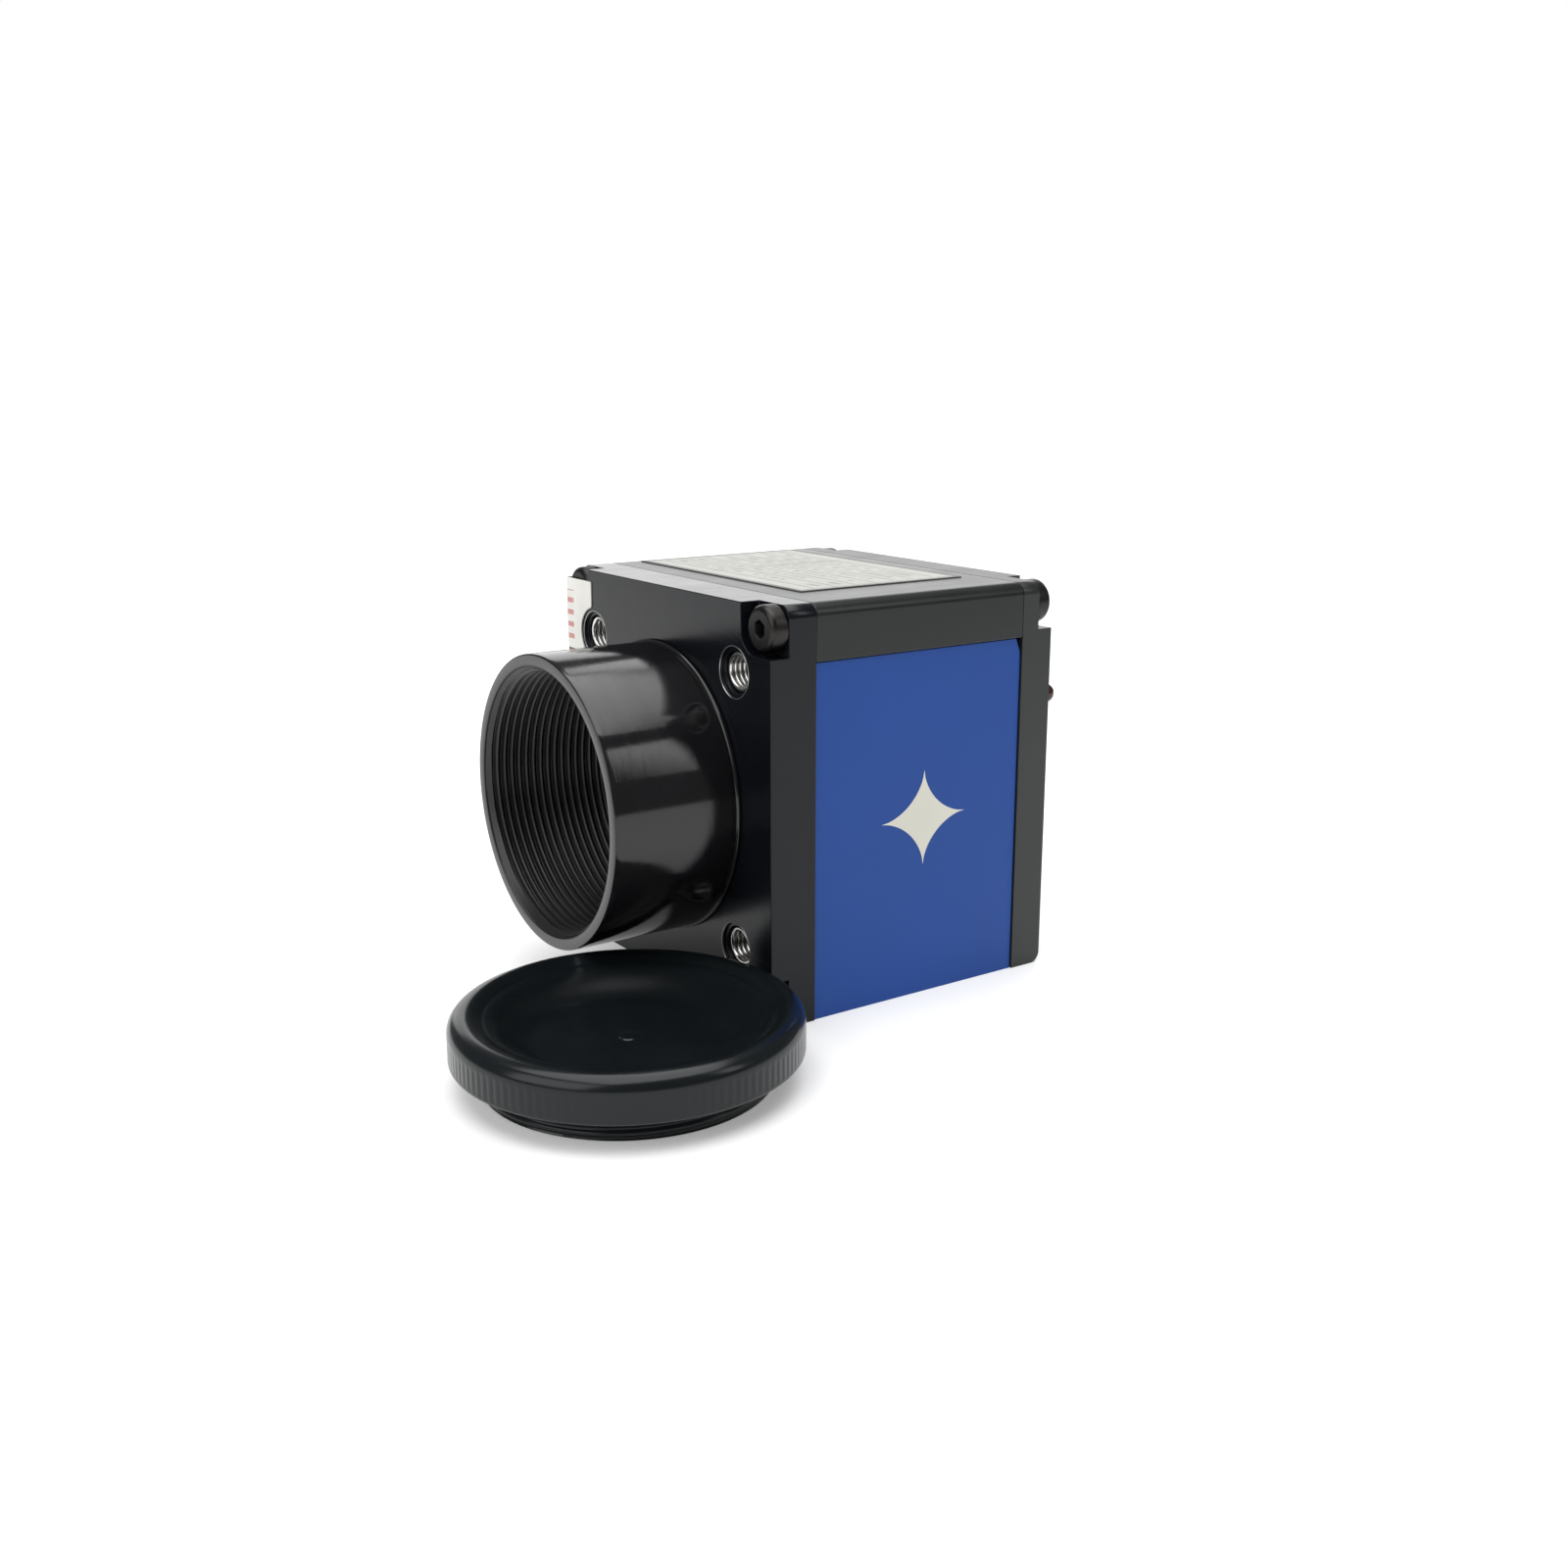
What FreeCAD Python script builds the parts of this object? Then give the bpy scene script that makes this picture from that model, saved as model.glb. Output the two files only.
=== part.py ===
"""Guide camera for an astronomy telescope, with its screw-in dust cap lying beside it.

Frame: millimetres, +Z up, origin at the middle of the camera's base.
The lens tube points along -Y, and the connectors are on the +Y side.
Depths called "s" are measured backwards from the front face of the front plate.
"""
import FreeCAD, Part
import math
import os

Vector = FreeCAD.Vector

# Camera body
BODY_WIDTH = 37.8
BODY_HEIGHT = 39.0
BODY_DEPTH = 33.0
FRONT_PLATE = 4.9
BACK_PLATE = 3.7
EDGE_ROUND = 1.2
BACK_CORNER_ROUND = 1.1
SEAM = 0.08

# Top cover and blue housing
COVER_FLANGE = 5.25
COVER_SKIN = 1.5
WALL = 1.3
SIDE_RECESS = 0.2
BOSS = 4.7
HOUSING_REAR_GAP = 0.1
HOUSING_CHAMFER_DEPTH = 0.55
HOUSING_CHAMFER_HEIGHT = 1.4

# Corner screws (M2.5 with a low round head) and the corner notches they sit in
SCREW_INSET = 2.15
SCREW_HEAD_R = 2.13
SCREW_HEAD_H = 1.7
SCREW_HEAD_ROUND = 0.5
SCREW_SHANK_R = 1.2
SCREW_HOLE_R = 1.27
SCREW_HEX = 1.5
SCREW_HEX_DEPTH = 1.1
SCREW_LENGTH = 8.0
HOLE_EXTRA = 0.6
NOTCH_SIDE = 4.7
NOTCH_HEIGHT = 4.6
NOTCH_ROUND = 2.1
FRONT_NOTCH_DEPTH = 1.95
REAR_NOTCH_DEPTH = 1.7

# Countersunk M2 screws at the bottom of the back plate
FLAT_HEAD_R = 1.75
FLAT_HEAD_H = 0.85
FLAT_SHANK_R = 0.95
FLAT_HOLE_R = 1.02
FLAT_LENGTH = 7.0
FLAT_SUNK = 0.06
FLAT_CLEARANCE = 0.06
FLAT_HEX = 1.25
FLAT_HEX_DEPTH = 0.6

# Lens tube with its C-mount female thread: 1 inch across, 32 threads per inch
TUBE_R = 14.0
TUBE_BORE_R = 12.27
TUBE_LENGTH = 12.95
TUBE_MOUTH_R = 12.85
TUBE_MOUTH_DEPTH = 0.6
TUBE_EDGE = 0.15
SPIGOT_R = 13.2
SPIGOT_BORE_R = 13.3
SPIGOT_DEPTH = 1.5
SPIGOT_BORE_DEPTH = 1.6

# Protective window in the front plate
RETAINER_R = 11.6
RETAINER_BORE_R = 11.7
RETAINER_HOLE_R = 8.4
RETAINER_H = 0.6
RETAINER_SLOT = 0.9
RETAINER_SLOT_DEPTH = 0.4
WINDOW_R = 9.6
WINDOW_BORE_R = 9.8
WINDOW_T = 0.9
O_RING_R = 9.0
O_RING_SECTION_R = 0.34
O_RING_SPACE = 0.7
LIGHT_HOLE_R = 8.2

# M3 wire thread inserts on a 26 mm square
INSERT_SQUARE = 26.0
INSERT_HOLE_R = 1.95
INSERT_OUTER_R = 1.92
INSERT_BORE_R = 1.3
INSERT_START = 0.3
INSERT_LENGTH = 3.6
INSERT_DEPTH = 4.2
INSERT_SINK_R = 2.4
INSERT_SINK_DEPTH = 0.28

# Circuit boards, measured as depths s behind the front face
BOARD_W = 33.0
BOARD_H = 26.0
BOARD_T = 1.0
BOARD_CORNER = 0.9
STANDOFF_X = 12.2
STANDOFF_Z = 7.5
STANDOFF_AF = 3.0
BOARD_HOLE_R = 0.9
SENSOR_BOARD_S = 8.4
MAIN_BOARD_S = 14.6
INTERFACE_BOARD_S = 20.6
BOARD_SCREW_HEAD_R = 1.4
BOARD_SCREW_HEAD_H = 1.0
BOARD_SCREW_STEM_R = 0.8
BOARD_SCREW_SLOT = 0.4
BOARD_SCREW_SLOT_DEPTH = 0.5

# Image sensor
SENSOR_W = 9.2
SENSOR_H = 8.0
SENSOR_T = 1.6
SENSOR_CAVITY_W = 5.9
SENSOR_CAVITY_H = 4.8
SENSOR_CAVITY_DEPTH = 0.75
DIE_W = 4.8
DIE_H = 3.6
DIE_T = 0.3
GLASS_W = 7.4
GLASS_H = 6.2
GLASS_T = 0.4
LEAD_W = 0.3
LEAD_LENGTH = 0.7
LEAD_T = 0.2
LEAD_COUNT = 8
LEAD_PITCH = 0.9

# Board-to-board headers
HEADER_W = 16.0
HEADER_H = 3.2
HEADER_Z = 11.2
PIN_SIDE = 0.4
PIN_GAP = 0.03
PIN_PITCH = 1.27
PIN_COUNT = 10

# Small data socket and six-way guide port on the back
USB_X = -5.5
USB_Z = 10.2
USB_W = 7.7
USB_H = 4.0
USB_WALL = 0.3
USB_RECESS = 0.1
USB_MOUTH_DEPTH = 6.0
TONGUE_W = 4.9
TONGUE_H = 1.1
TONGUE_SHORT = 0.8
USB_CONTACTS = 5
USB_CONTACT_PITCH = 0.8
USB_CONTACT_W = 0.4
USB_CONTACT_T = 0.1
USB_CONTACT_LENGTH = 4.6
PORT_X = 0.0
PORT_Z = 22.0
PORT_W = 13.2
PORT_H = 12.6
PORT_MOUTH_W = 9.7
PORT_MOUTH_H = 6.8
PORT_MOUTH_DROP = 1.4
PORT_MOUTH_DEPTH = 9.0
PORT_LATCH_W = 6.2
PORT_LATCH_H = 2.2
PORT_CONTACTS = 6
PORT_CONTACT_PITCH = 1.02
PORT_CONTACT_SIDE = 0.45
PORT_CONTACT_INSET = 2.0
SOCKET_CLEARANCE = 0.15

# Status light on the back
LED_X = 15.7
LED_Z = 27.15
LED_R = 1.0
LED_FLANGE_R = 1.3
LED_FLANGE_T = 0.6
LED_OUT = 3.4
LED_LEAD_SIDE = 0.35
LED_LEAD_OFFSET = 0.6
LED_HOLE_R = 1.07
LED_FLANGE_GAP = 0.07

# Top label and inspection sticker
LABEL_X0 = -17.1
LABEL_X1 = 12.2
LABEL_S0 = 7.9
LABEL_S1 = 27.1
LABEL_T = 0.1
STICKER_RIGHT_X = -13.5
STICKER_Z0 = 30.5
STICKER_LEFT_Z1 = 37.8
STICKER_RIGHT_Z1 = 37.3
STICKER_T = 0.1
STICKER_WRAP = 3.0
STICKER_HOLE_GAP = 0.03

# Dust cap, lying dish up in front of the camera
CAP_X = 19.95
CAP_Y = -31.98
CAP_R = 15.2
CAP_TOP_R = 13.8
CAP_H = 6.5
CAP_SHOULDER_Z = 5.1
CAP_INNER_R = 12.3
CAP_INNER_Z = 6.0
CAP_UNDERSIDE = 2.55
CAP_SKIRT_R = 12.7
CAP_SKIRT_BORE_R = 11.6
CAP_WALL_R = 10.3
CAP_WALL_Z = 4.85
CAP_FLOOR_R = 8.3
CAP_FLOOR_Z = 3.7
CAP_FLOOR_T = 1.0
CAP_FLOOR_BULGE = 0.35
CAP_WALL_BULGE = 0.3
CAP_LIP_BULGE = 0.2
CAP_SHOULDER_BULGE = 0.41
CAP_UNDER_EDGE = 0.3
CAP_RIBS = 120
CAP_RIB_DEPTH = 0.15
CAP_RIB_WIDTH = 0.35
CAP_RIB_MARGIN = 0.35

# Values worked out from the sizes above
FRONT_Y = -BODY_DEPTH / 2
HALF_W = BODY_WIDTH / 2
AXIS_Z = BODY_HEIGHT / 2
BACK_S = BODY_DEPTH - BACK_PLATE
COVER_Z = BODY_HEIGHT - COVER_FLANGE
HOUSING_TOP = COVER_Z - SEAM
HOUSING_HALF_W = HALF_W - SIDE_RECESS
HOUSING_REAR_S = BACK_S - HOUSING_REAR_GAP
SCREW_X = HALF_W - SCREW_INSET
SCREW_TOP_Z = BODY_HEIGHT - SCREW_INSET
INSERT_XZ = INSERT_SQUARE / 2
WINDOW_BORE_DEPTH = SPIGOT_BORE_DEPTH + RETAINER_H + WINDOW_T + O_RING_SPACE
CORNERS = [(1, 1), (-1, 1), (-1, -1), (1, -1)]


def depth_to_y(s):
    """Y of the plane at depth s behind the front face."""
    return FRONT_Y + s


def block(x0, x1, s0, s1, z0, z1):
    """Box between two X values, two depths and two heights."""
    corner = Vector(x0, depth_to_y(s0), z0)
    return Part.makeBox(x1 - x0, s1 - s0, z1 - z0, corner)


def rod(radius, s0, s1, x=0.0, z=AXIS_Z):
    """Cylinder along Y between two depths."""
    return Part.makeCylinder(radius, s1 - s0, Vector(x, depth_to_y(s0), z), Vector(0, 1, 0))


def cone(radius0, radius1, s0, s1, x=0.0, z=AXIS_Z):
    """Cone along Y, radius0 at depth s0 and radius1 at depth s1."""
    return Part.makeCone(radius0, radius1, s1 - s0, Vector(x, depth_to_y(s0), z), Vector(0, 1, 0))


def hex_rod(across_flats, s0, s1, x, z):
    """Hexagonal bar along Y."""
    radius = across_flats / math.sqrt(3.0)
    points = []
    for index in range(7):
        angle = math.radians(60.0 * index + 30.0)
        points.append(Vector(x + radius * math.cos(angle), depth_to_y(s0), z + radius * math.sin(angle)))
    return Part.Face(Part.makePolygon(points)).extrude(Vector(0, s1 - s0, 0))


def join(shapes):
    """One solid from touching or overlapping shapes."""
    return shapes[0].multiFuse(shapes[1:]).removeSplitter()


def y_edges_at(shape, x, z):
    """Edges that run along Y through the point (x, z)."""
    found = []
    for edge in shape.Edges:
        ends = [vertex.Point for vertex in edge.Vertexes]
        if all(abs(end.x - x) < 1e-6 and abs(end.z - z) < 1e-6 for end in ends):
            found.append(edge)
    return found


def plate_blank(s0, s1):
    """Full-size plate with its two long top edges rounded."""
    blank = block(-HALF_W, HALF_W, s0, s1, 0.0, BODY_HEIGHT)
    edges = y_edges_at(blank, HALF_W, BODY_HEIGHT) + y_edges_at(blank, -HALF_W, BODY_HEIGHT)
    return blank.makeFillet(EDGE_ROUND, edges)


def corner_notch(side, top, s0, s1):
    """Tool that clears one corner of a plate for a screw head."""
    reach = 2.0
    inner = HALF_W - NOTCH_SIDE
    floor = BODY_HEIGHT - NOTCH_HEIGHT
    tool = block(inner, HALF_W + reach, s0, s1, floor, BODY_HEIGHT + reach)
    tool = tool.makeFillet(NOTCH_ROUND, y_edges_at(tool, inner, floor))
    if side < 0:
        tool = tool.mirror(Vector(0, 0, 0), Vector(1, 0, 0))
    if top < 0:
        tool = tool.mirror(Vector(0, 0, AXIS_Z), Vector(0, 0, 1))
    return tool


def screw_place(side, top):
    """X and Z of a corner screw."""
    return side * SCREW_X, AXIS_Z + top * (SCREW_TOP_Z - AXIS_Z)


def low_head_screw(x, z, seat_s, direction):
    """M2.5 socket screw whose head rests on depth seat_s.

    direction is +1 where the shank runs backwards and -1 where it runs forwards.
    """
    head_s = seat_s - direction * SCREW_HEAD_H
    tip_s = seat_s + direction * SCREW_LENGTH
    head = rod(SCREW_HEAD_R, min(seat_s, head_s), max(seat_s, head_s), x, z)
    outer = [edge for edge in head.Edges
             if len(edge.Vertexes) == 1 and abs(edge.Vertexes[0].Point.y - depth_to_y(head_s)) < 1e-6]
    head = head.makeFillet(SCREW_HEAD_ROUND, outer)
    socket_s = head_s + direction * SCREW_HEX_DEPTH
    head = head.cut(hex_rod(SCREW_HEX, min(head_s, socket_s), max(head_s, socket_s), x, z))
    shank = rod(SCREW_SHANK_R, min(seat_s, tip_s), max(seat_s, tip_s), x, z)
    return join([head, shank])


def front_plate():
    """Front plate: tube bore, window seat, insert holes and screw notches."""
    shape = plate_blank(0.0, FRONT_PLATE)
    cuts = [rod(SPIGOT_BORE_R, -1.0, SPIGOT_BORE_DEPTH)]
    retainer_seat = SPIGOT_BORE_DEPTH + RETAINER_H
    cuts.append(rod(RETAINER_BORE_R, SPIGOT_BORE_DEPTH - 1.0, retainer_seat))
    cuts.append(rod(WINDOW_BORE_R, SPIGOT_BORE_DEPTH, WINDOW_BORE_DEPTH))
    cuts.append(rod(LIGHT_HOLE_R, SPIGOT_BORE_DEPTH, FRONT_PLATE + 1.0))
    for side, top in CORNERS:
        x, z = screw_place(side, top)
        cuts.append(corner_notch(side, top, -1.0, FRONT_NOTCH_DEPTH))
        cuts.append(rod(SCREW_HOLE_R, FRONT_NOTCH_DEPTH - 0.5, FRONT_PLATE + 1.0, x, z))
        insert_x = side * INSERT_XZ
        insert_z = AXIS_Z + top * INSERT_XZ
        cuts.append(rod(INSERT_HOLE_R, -1.0, INSERT_DEPTH, insert_x, insert_z))
        cuts.append(rod(INSERT_SINK_R, -1.0, INSERT_SINK_DEPTH, insert_x, insert_z))
    return shape.cut(cuts)


def thread_inserts():
    """Four wire thread inserts as plain sleeves of their own size."""
    sleeves = []
    for side, top in CORNERS:
        x = side * INSERT_XZ
        z = AXIS_Z + top * INSERT_XZ
        sleeve = rod(INSERT_OUTER_R, INSERT_START, INSERT_START + INSERT_LENGTH, x, z)
        sleeves.append(sleeve.cut(rod(INSERT_BORE_R, 0.0, INSERT_DEPTH, x, z)))
    return Part.makeCompound(sleeves)


def front_screws():
    """Four corner screws that hold the front plate."""
    screws = [low_head_screw(*screw_place(side, top), FRONT_NOTCH_DEPTH, 1) for side, top in CORNERS]
    return Part.makeCompound(screws)


def lens_tube():
    """Threaded tube whose spigot screws into the front plate."""
    barrel = rod(TUBE_R, -TUBE_LENGTH, 0.0)
    rim = [edge for edge in barrel.Edges
           if len(edge.Vertexes) == 1 and edge.Vertexes[0].Point.y < FRONT_Y - 1.0]
    barrel = barrel.makeChamfer(TUBE_EDGE, rim)
    shape = join([barrel, rod(SPIGOT_R, -1.0, SPIGOT_DEPTH)])
    mouth = cone(TUBE_MOUTH_R, TUBE_BORE_R, -TUBE_LENGTH, TUBE_MOUTH_DEPTH - TUBE_LENGTH)
    return shape.cut([rod(TUBE_BORE_R, -TUBE_LENGTH - 1.0, SPIGOT_DEPTH + 1.0), mouth])


def window_retainer():
    """Threaded ring that holds the window, with two spanner slots."""
    s0 = SPIGOT_BORE_DEPTH
    ring = rod(RETAINER_R, s0, s0 + RETAINER_H).cut(rod(RETAINER_HOLE_R, s0 - 1.0, s0 + RETAINER_H + 1.0))
    half = RETAINER_SLOT / 2
    slots = []
    for side in (-1, 1):
        x0, x1 = sorted((side * (RETAINER_HOLE_R - 1.0), side * (RETAINER_R + 1.0)))
        slots.append(block(x0, x1, s0 - 1.0, s0 + RETAINER_SLOT_DEPTH, AXIS_Z - half, AXIS_Z + half))
    return ring.cut(slots)


def window_glass():
    """Flat clear window in front of the sensor."""
    s0 = SPIGOT_BORE_DEPTH + RETAINER_H
    return rod(WINDOW_R, s0, s0 + WINDOW_T)


def window_o_ring():
    """Rubber ring between the window and its ledge."""
    s = SPIGOT_BORE_DEPTH + RETAINER_H + WINDOW_T + O_RING_SPACE / 2
    centre = Vector(0, depth_to_y(s), AXIS_Z)
    return Part.makeTorus(O_RING_R, O_RING_SECTION_R, centre, Vector(0, 1, 0))


def top_cover():
    """Black top cover: skin, two side flanges and a screw boss along each corner."""
    s0 = FRONT_PLATE
    s1 = BACK_S
    skin = block(-HALF_W, HALF_W, s0, s1, BODY_HEIGHT - COVER_SKIN, BODY_HEIGHT)
    pieces = [skin]
    for side in (-1, 1):
        x0, x1 = sorted((side * HALF_W, side * (HALF_W - WALL)))
        pieces.append(block(x0, x1, s0, s1, COVER_Z, BODY_HEIGHT))
        x0, x1 = sorted((side * HALF_W, side * (HALF_W - BOSS)))
        pieces.append(block(x0, x1, s0, s1, BODY_HEIGHT - BOSS, BODY_HEIGHT))
    shape = join(pieces)
    edges = y_edges_at(shape, HALF_W, BODY_HEIGHT) + y_edges_at(shape, -HALF_W, BODY_HEIGHT)
    shape = shape.makeFillet(EDGE_ROUND, edges)
    front_end = FRONT_NOTCH_DEPTH + SCREW_LENGTH + HOLE_EXTRA
    rear_end = BODY_DEPTH - REAR_NOTCH_DEPTH - SCREW_LENGTH - HOLE_EXTRA
    cuts = []
    for side in (-1, 1):
        x, z = screw_place(side, 1)
        cuts.append(rod(SCREW_HOLE_R, s0 - 1.0, front_end, x, z))
        cuts.append(rod(SCREW_HOLE_R, rear_end, s1 + 1.0, x, z))
    return shape.cut(cuts)


def blue_housing():
    """Painted U-shaped housing: two side walls, the floor and two screw bosses."""
    s0 = FRONT_PLATE
    s1 = HOUSING_REAR_S
    half = HOUSING_HALF_W
    pieces = [block(-half, half, s0, s1, 0.0, WALL)]
    for side in (-1, 1):
        x0, x1 = sorted((side * half, side * (half - WALL)))
        pieces.append(block(x0, x1, s0, s1, 0.0, HOUSING_TOP))
        x0, x1 = sorted((side * half, side * (HALF_W - BOSS)))
        pieces.append(block(x0, x1, s0, s1, 0.0, BOSS))
    shape = join(pieces)
    cuts = [rear_corner_wedge()]
    for side in (-1, 1):
        x, z = screw_place(side, -1)
        cuts.append(rod(SCREW_HOLE_R, s0 - 1.0, FRONT_NOTCH_DEPTH + SCREW_LENGTH + HOLE_EXTRA, x, z))
        cuts.append(rod(FLAT_HOLE_R, BODY_DEPTH - FLAT_LENGTH - HOLE_EXTRA, s1 + 1.0, x, z))
    return shape.cut(cuts)


def rear_corner_wedge():
    """Wedge that bevels the upper rear corner of both side walls."""
    y1 = depth_to_y(HOUSING_REAR_S)
    x0 = -HALF_W - 1.0
    points = [
        Vector(x0, y1 - HOUSING_CHAMFER_DEPTH, HOUSING_TOP + 1e-3),
        Vector(x0, y1 + 1e-3, HOUSING_TOP - HOUSING_CHAMFER_HEIGHT),
        Vector(x0, y1 + 1e-3, HOUSING_TOP + 1e-3),
    ]
    face = Part.Face(Part.makePolygon(points + [points[0]]))
    return face.extrude(Vector(BODY_WIDTH + 2.0, 0, 0))


def back_plate():
    """Back plate: connector openings, light hole, two notches and two countersinks."""
    shape = plate_blank(BACK_S, BODY_DEPTH)
    bottom = [edge for edge in shape.Edges
              if all(abs(v.Point.z) < 1e-6 for v in edge.Vertexes)
              and all(abs(v.Point.y - depth_to_y(BODY_DEPTH)) < 1e-6 for v in edge.Vertexes)]
    shape = shape.makeFillet(BACK_CORNER_ROUND, bottom)
    s0 = BACK_S - 1.0
    s1 = BODY_DEPTH + 1.0
    gap = SOCKET_CLEARANCE
    cuts = [
        block(USB_X - USB_W / 2 - gap, USB_X + USB_W / 2 + gap, s0, s1,
              USB_Z - USB_H / 2 - gap, USB_Z + USB_H / 2 + gap),
        block(PORT_X - PORT_W / 2 - gap, PORT_X + PORT_W / 2 + gap, s0, s1,
              PORT_Z - PORT_H / 2 - gap, PORT_Z + PORT_H / 2 + gap),
        rod(LED_HOLE_R, s0, s1, LED_X, LED_Z),
        rod(LED_FLANGE_R + LED_FLANGE_GAP, s0, BODY_DEPTH - LED_FLANGE_T, LED_X, LED_Z),
    ]
    for side in (-1, 1):
        x, z = screw_place(side, 1)
        cuts.append(corner_notch(side, 1, BODY_DEPTH - REAR_NOTCH_DEPTH, s1))
        cuts.append(rod(SCREW_HOLE_R, s0, s1, x, z))
        x, z = screw_place(side, -1)
        head_s = BODY_DEPTH - FLAT_SUNK
        cuts.append(rod(FLAT_HOLE_R, s0, s1, x, z))
        head_r = FLAT_HEAD_R + FLAT_CLEARANCE
        cuts.append(cone(FLAT_SHANK_R + FLAT_CLEARANCE, head_r, head_s - FLAT_HEAD_H, head_s, x, z))
        cuts.append(rod(head_r, head_s, s1, x, z))
    return shape.cut(cuts)


def rear_upper_screws():
    """Two low-head screws in the top notches of the back plate."""
    seat = BODY_DEPTH - REAR_NOTCH_DEPTH
    return Part.makeCompound([low_head_screw(*screw_place(side, 1), seat, -1) for side in (-1, 1)])


def rear_lower_screws():
    """Two countersunk screws at the bottom of the back plate."""
    screws = []
    head_s = BODY_DEPTH - FLAT_SUNK
    for side in (-1, 1):
        x, z = screw_place(side, -1)
        head = cone(FLAT_SHANK_R, FLAT_HEAD_R, head_s - FLAT_HEAD_H, head_s, x, z)
        shank = rod(FLAT_SHANK_R, BODY_DEPTH - FLAT_LENGTH, head_s - FLAT_HEAD_H, x, z)
        socket = hex_rod(FLAT_HEX, head_s - FLAT_HEX_DEPTH, head_s + 1.0, x, z)
        screws.append(join([head, shank]).cut(socket))
    return Part.makeCompound(screws)


def top_label():
    """Thin metal-faced label on the top cover."""
    return block(LABEL_X0, LABEL_X1, LABEL_S0, LABEL_S1, BODY_HEIGHT, BODY_HEIGHT + LABEL_T)


def inspection_sticker():
    """Paper seal over the upper left screw head, wrapped round the side of the plate."""
    left = -HALF_W - STICKER_T
    y = depth_to_y(-STICKER_T)
    corners = [
        Vector(left, y, STICKER_Z0),
        Vector(STICKER_RIGHT_X, y, STICKER_Z0),
        Vector(STICKER_RIGHT_X, y, STICKER_RIGHT_Z1),
        Vector(left, y, STICKER_LEFT_Z1),
    ]
    face_part = Part.Face(Part.makePolygon(corners + [corners[0]])).extrude(Vector(0, STICKER_T, 0))
    side_top = BODY_HEIGHT - NOTCH_HEIGHT
    side_part = block(left, -HALF_W, -STICKER_T, STICKER_WRAP, STICKER_Z0, side_top)
    hole_r = INSERT_SINK_R + STICKER_HOLE_GAP
    hole = rod(hole_r, -1.0, 1.0, -INSERT_XZ, AXIS_Z + INSERT_XZ)
    return join([face_part, side_part]).cut(hole)


def board(s0):
    """Circuit board with four mounting holes and rounded corners."""
    half = BOARD_W / 2
    shape = block(-half, half, s0, s0 + BOARD_T, AXIS_Z - BOARD_H / 2, AXIS_Z + BOARD_H / 2)
    edges = []
    for side, top in CORNERS:
        edges += y_edges_at(shape, side * half, AXIS_Z + top * BOARD_H / 2)
    shape = shape.makeFillet(BOARD_CORNER, edges)
    holes = [rod(BOARD_HOLE_R, s0 - 1.0, s0 + BOARD_T + 1.0, side * STANDOFF_X, AXIS_Z + top * STANDOFF_Z)
             for side, top in CORNERS]
    return shape.cut(holes)


def standoffs(s0, s1):
    """Four hexagonal spacers between two depths."""
    posts = [hex_rod(STANDOFF_AF, s0, s1, side * STANDOFF_X, AXIS_Z + top * STANDOFF_Z)
             for side, top in CORNERS]
    return Part.makeCompound(posts)


def board_screws():
    """Four pan-head screws behind the interface board."""
    seat = INTERFACE_BOARD_S + BOARD_T
    screws = []
    for side, upper in CORNERS:
        x = side * STANDOFF_X
        z = AXIS_Z + upper * STANDOFF_Z
        head = rod(BOARD_SCREW_HEAD_R, seat, seat + BOARD_SCREW_HEAD_H, x, z)
        top = seat + BOARD_SCREW_HEAD_H
        slot = block(x - BOARD_SCREW_HEAD_R, x + BOARD_SCREW_HEAD_R, top - BOARD_SCREW_SLOT_DEPTH, top + 1.0,
                     z - BOARD_SCREW_SLOT / 2, z + BOARD_SCREW_SLOT / 2)
        stem = rod(BOARD_SCREW_STEM_R, INTERFACE_BOARD_S, seat, x, z)
        screws.append(join([head.cut(slot), stem]))
    return Part.makeCompound(screws)


def image_sensor():
    """Ceramic sensor package with an open cavity for the die."""
    s1 = SENSOR_BOARD_S
    s0 = s1 - SENSOR_T
    body = block(-SENSOR_W / 2, SENSOR_W / 2, s0, s1, AXIS_Z - SENSOR_H / 2, AXIS_Z + SENSOR_H / 2)
    cavity = block(-SENSOR_CAVITY_W / 2, SENSOR_CAVITY_W / 2, s0 - 1.0, s0 + SENSOR_CAVITY_DEPTH,
                   AXIS_Z - SENSOR_CAVITY_H / 2, AXIS_Z + SENSOR_CAVITY_H / 2)
    return body.cut(cavity)


def sensor_die():
    """Silicon die on the floor of the package."""
    floor = SENSOR_BOARD_S - SENSOR_T + SENSOR_CAVITY_DEPTH
    return block(-DIE_W / 2, DIE_W / 2, floor - DIE_T, floor, AXIS_Z - DIE_H / 2, AXIS_Z + DIE_H / 2)


def sensor_cover_glass():
    """Thin glass lid on the sensor package."""
    s1 = SENSOR_BOARD_S - SENSOR_T
    return block(-GLASS_W / 2, GLASS_W / 2, s1 - GLASS_T, s1, AXIS_Z - GLASS_H / 2, AXIS_Z + GLASS_H / 2)


def sensor_leads():
    """Flat leads along both sides of the sensor package."""
    leads = []
    for side in (-1, 1):
        x0, x1 = sorted((side * SENSOR_W / 2, side * (SENSOR_W / 2 + LEAD_LENGTH)))
        for index in range(LEAD_COUNT):
            z = AXIS_Z + (index - (LEAD_COUNT - 1) / 2) * LEAD_PITCH
            leads.append(block(x0, x1, SENSOR_BOARD_S - LEAD_T, SENSOR_BOARD_S,
                               z - LEAD_W / 2, z + LEAD_W / 2))
    return Part.makeCompound(leads)


def chips(places, back_s):
    """Chips on the front of a board: (x, z from the axis, width, height, thickness) each."""
    blocks = []
    for x, z, width, height, thickness in places:
        blocks.append(block(x - width / 2, x + width / 2, back_s - thickness, back_s,
                            AXIS_Z + z - height / 2, AXIS_Z + z + height / 2))
    return Part.makeCompound(blocks)


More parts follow.
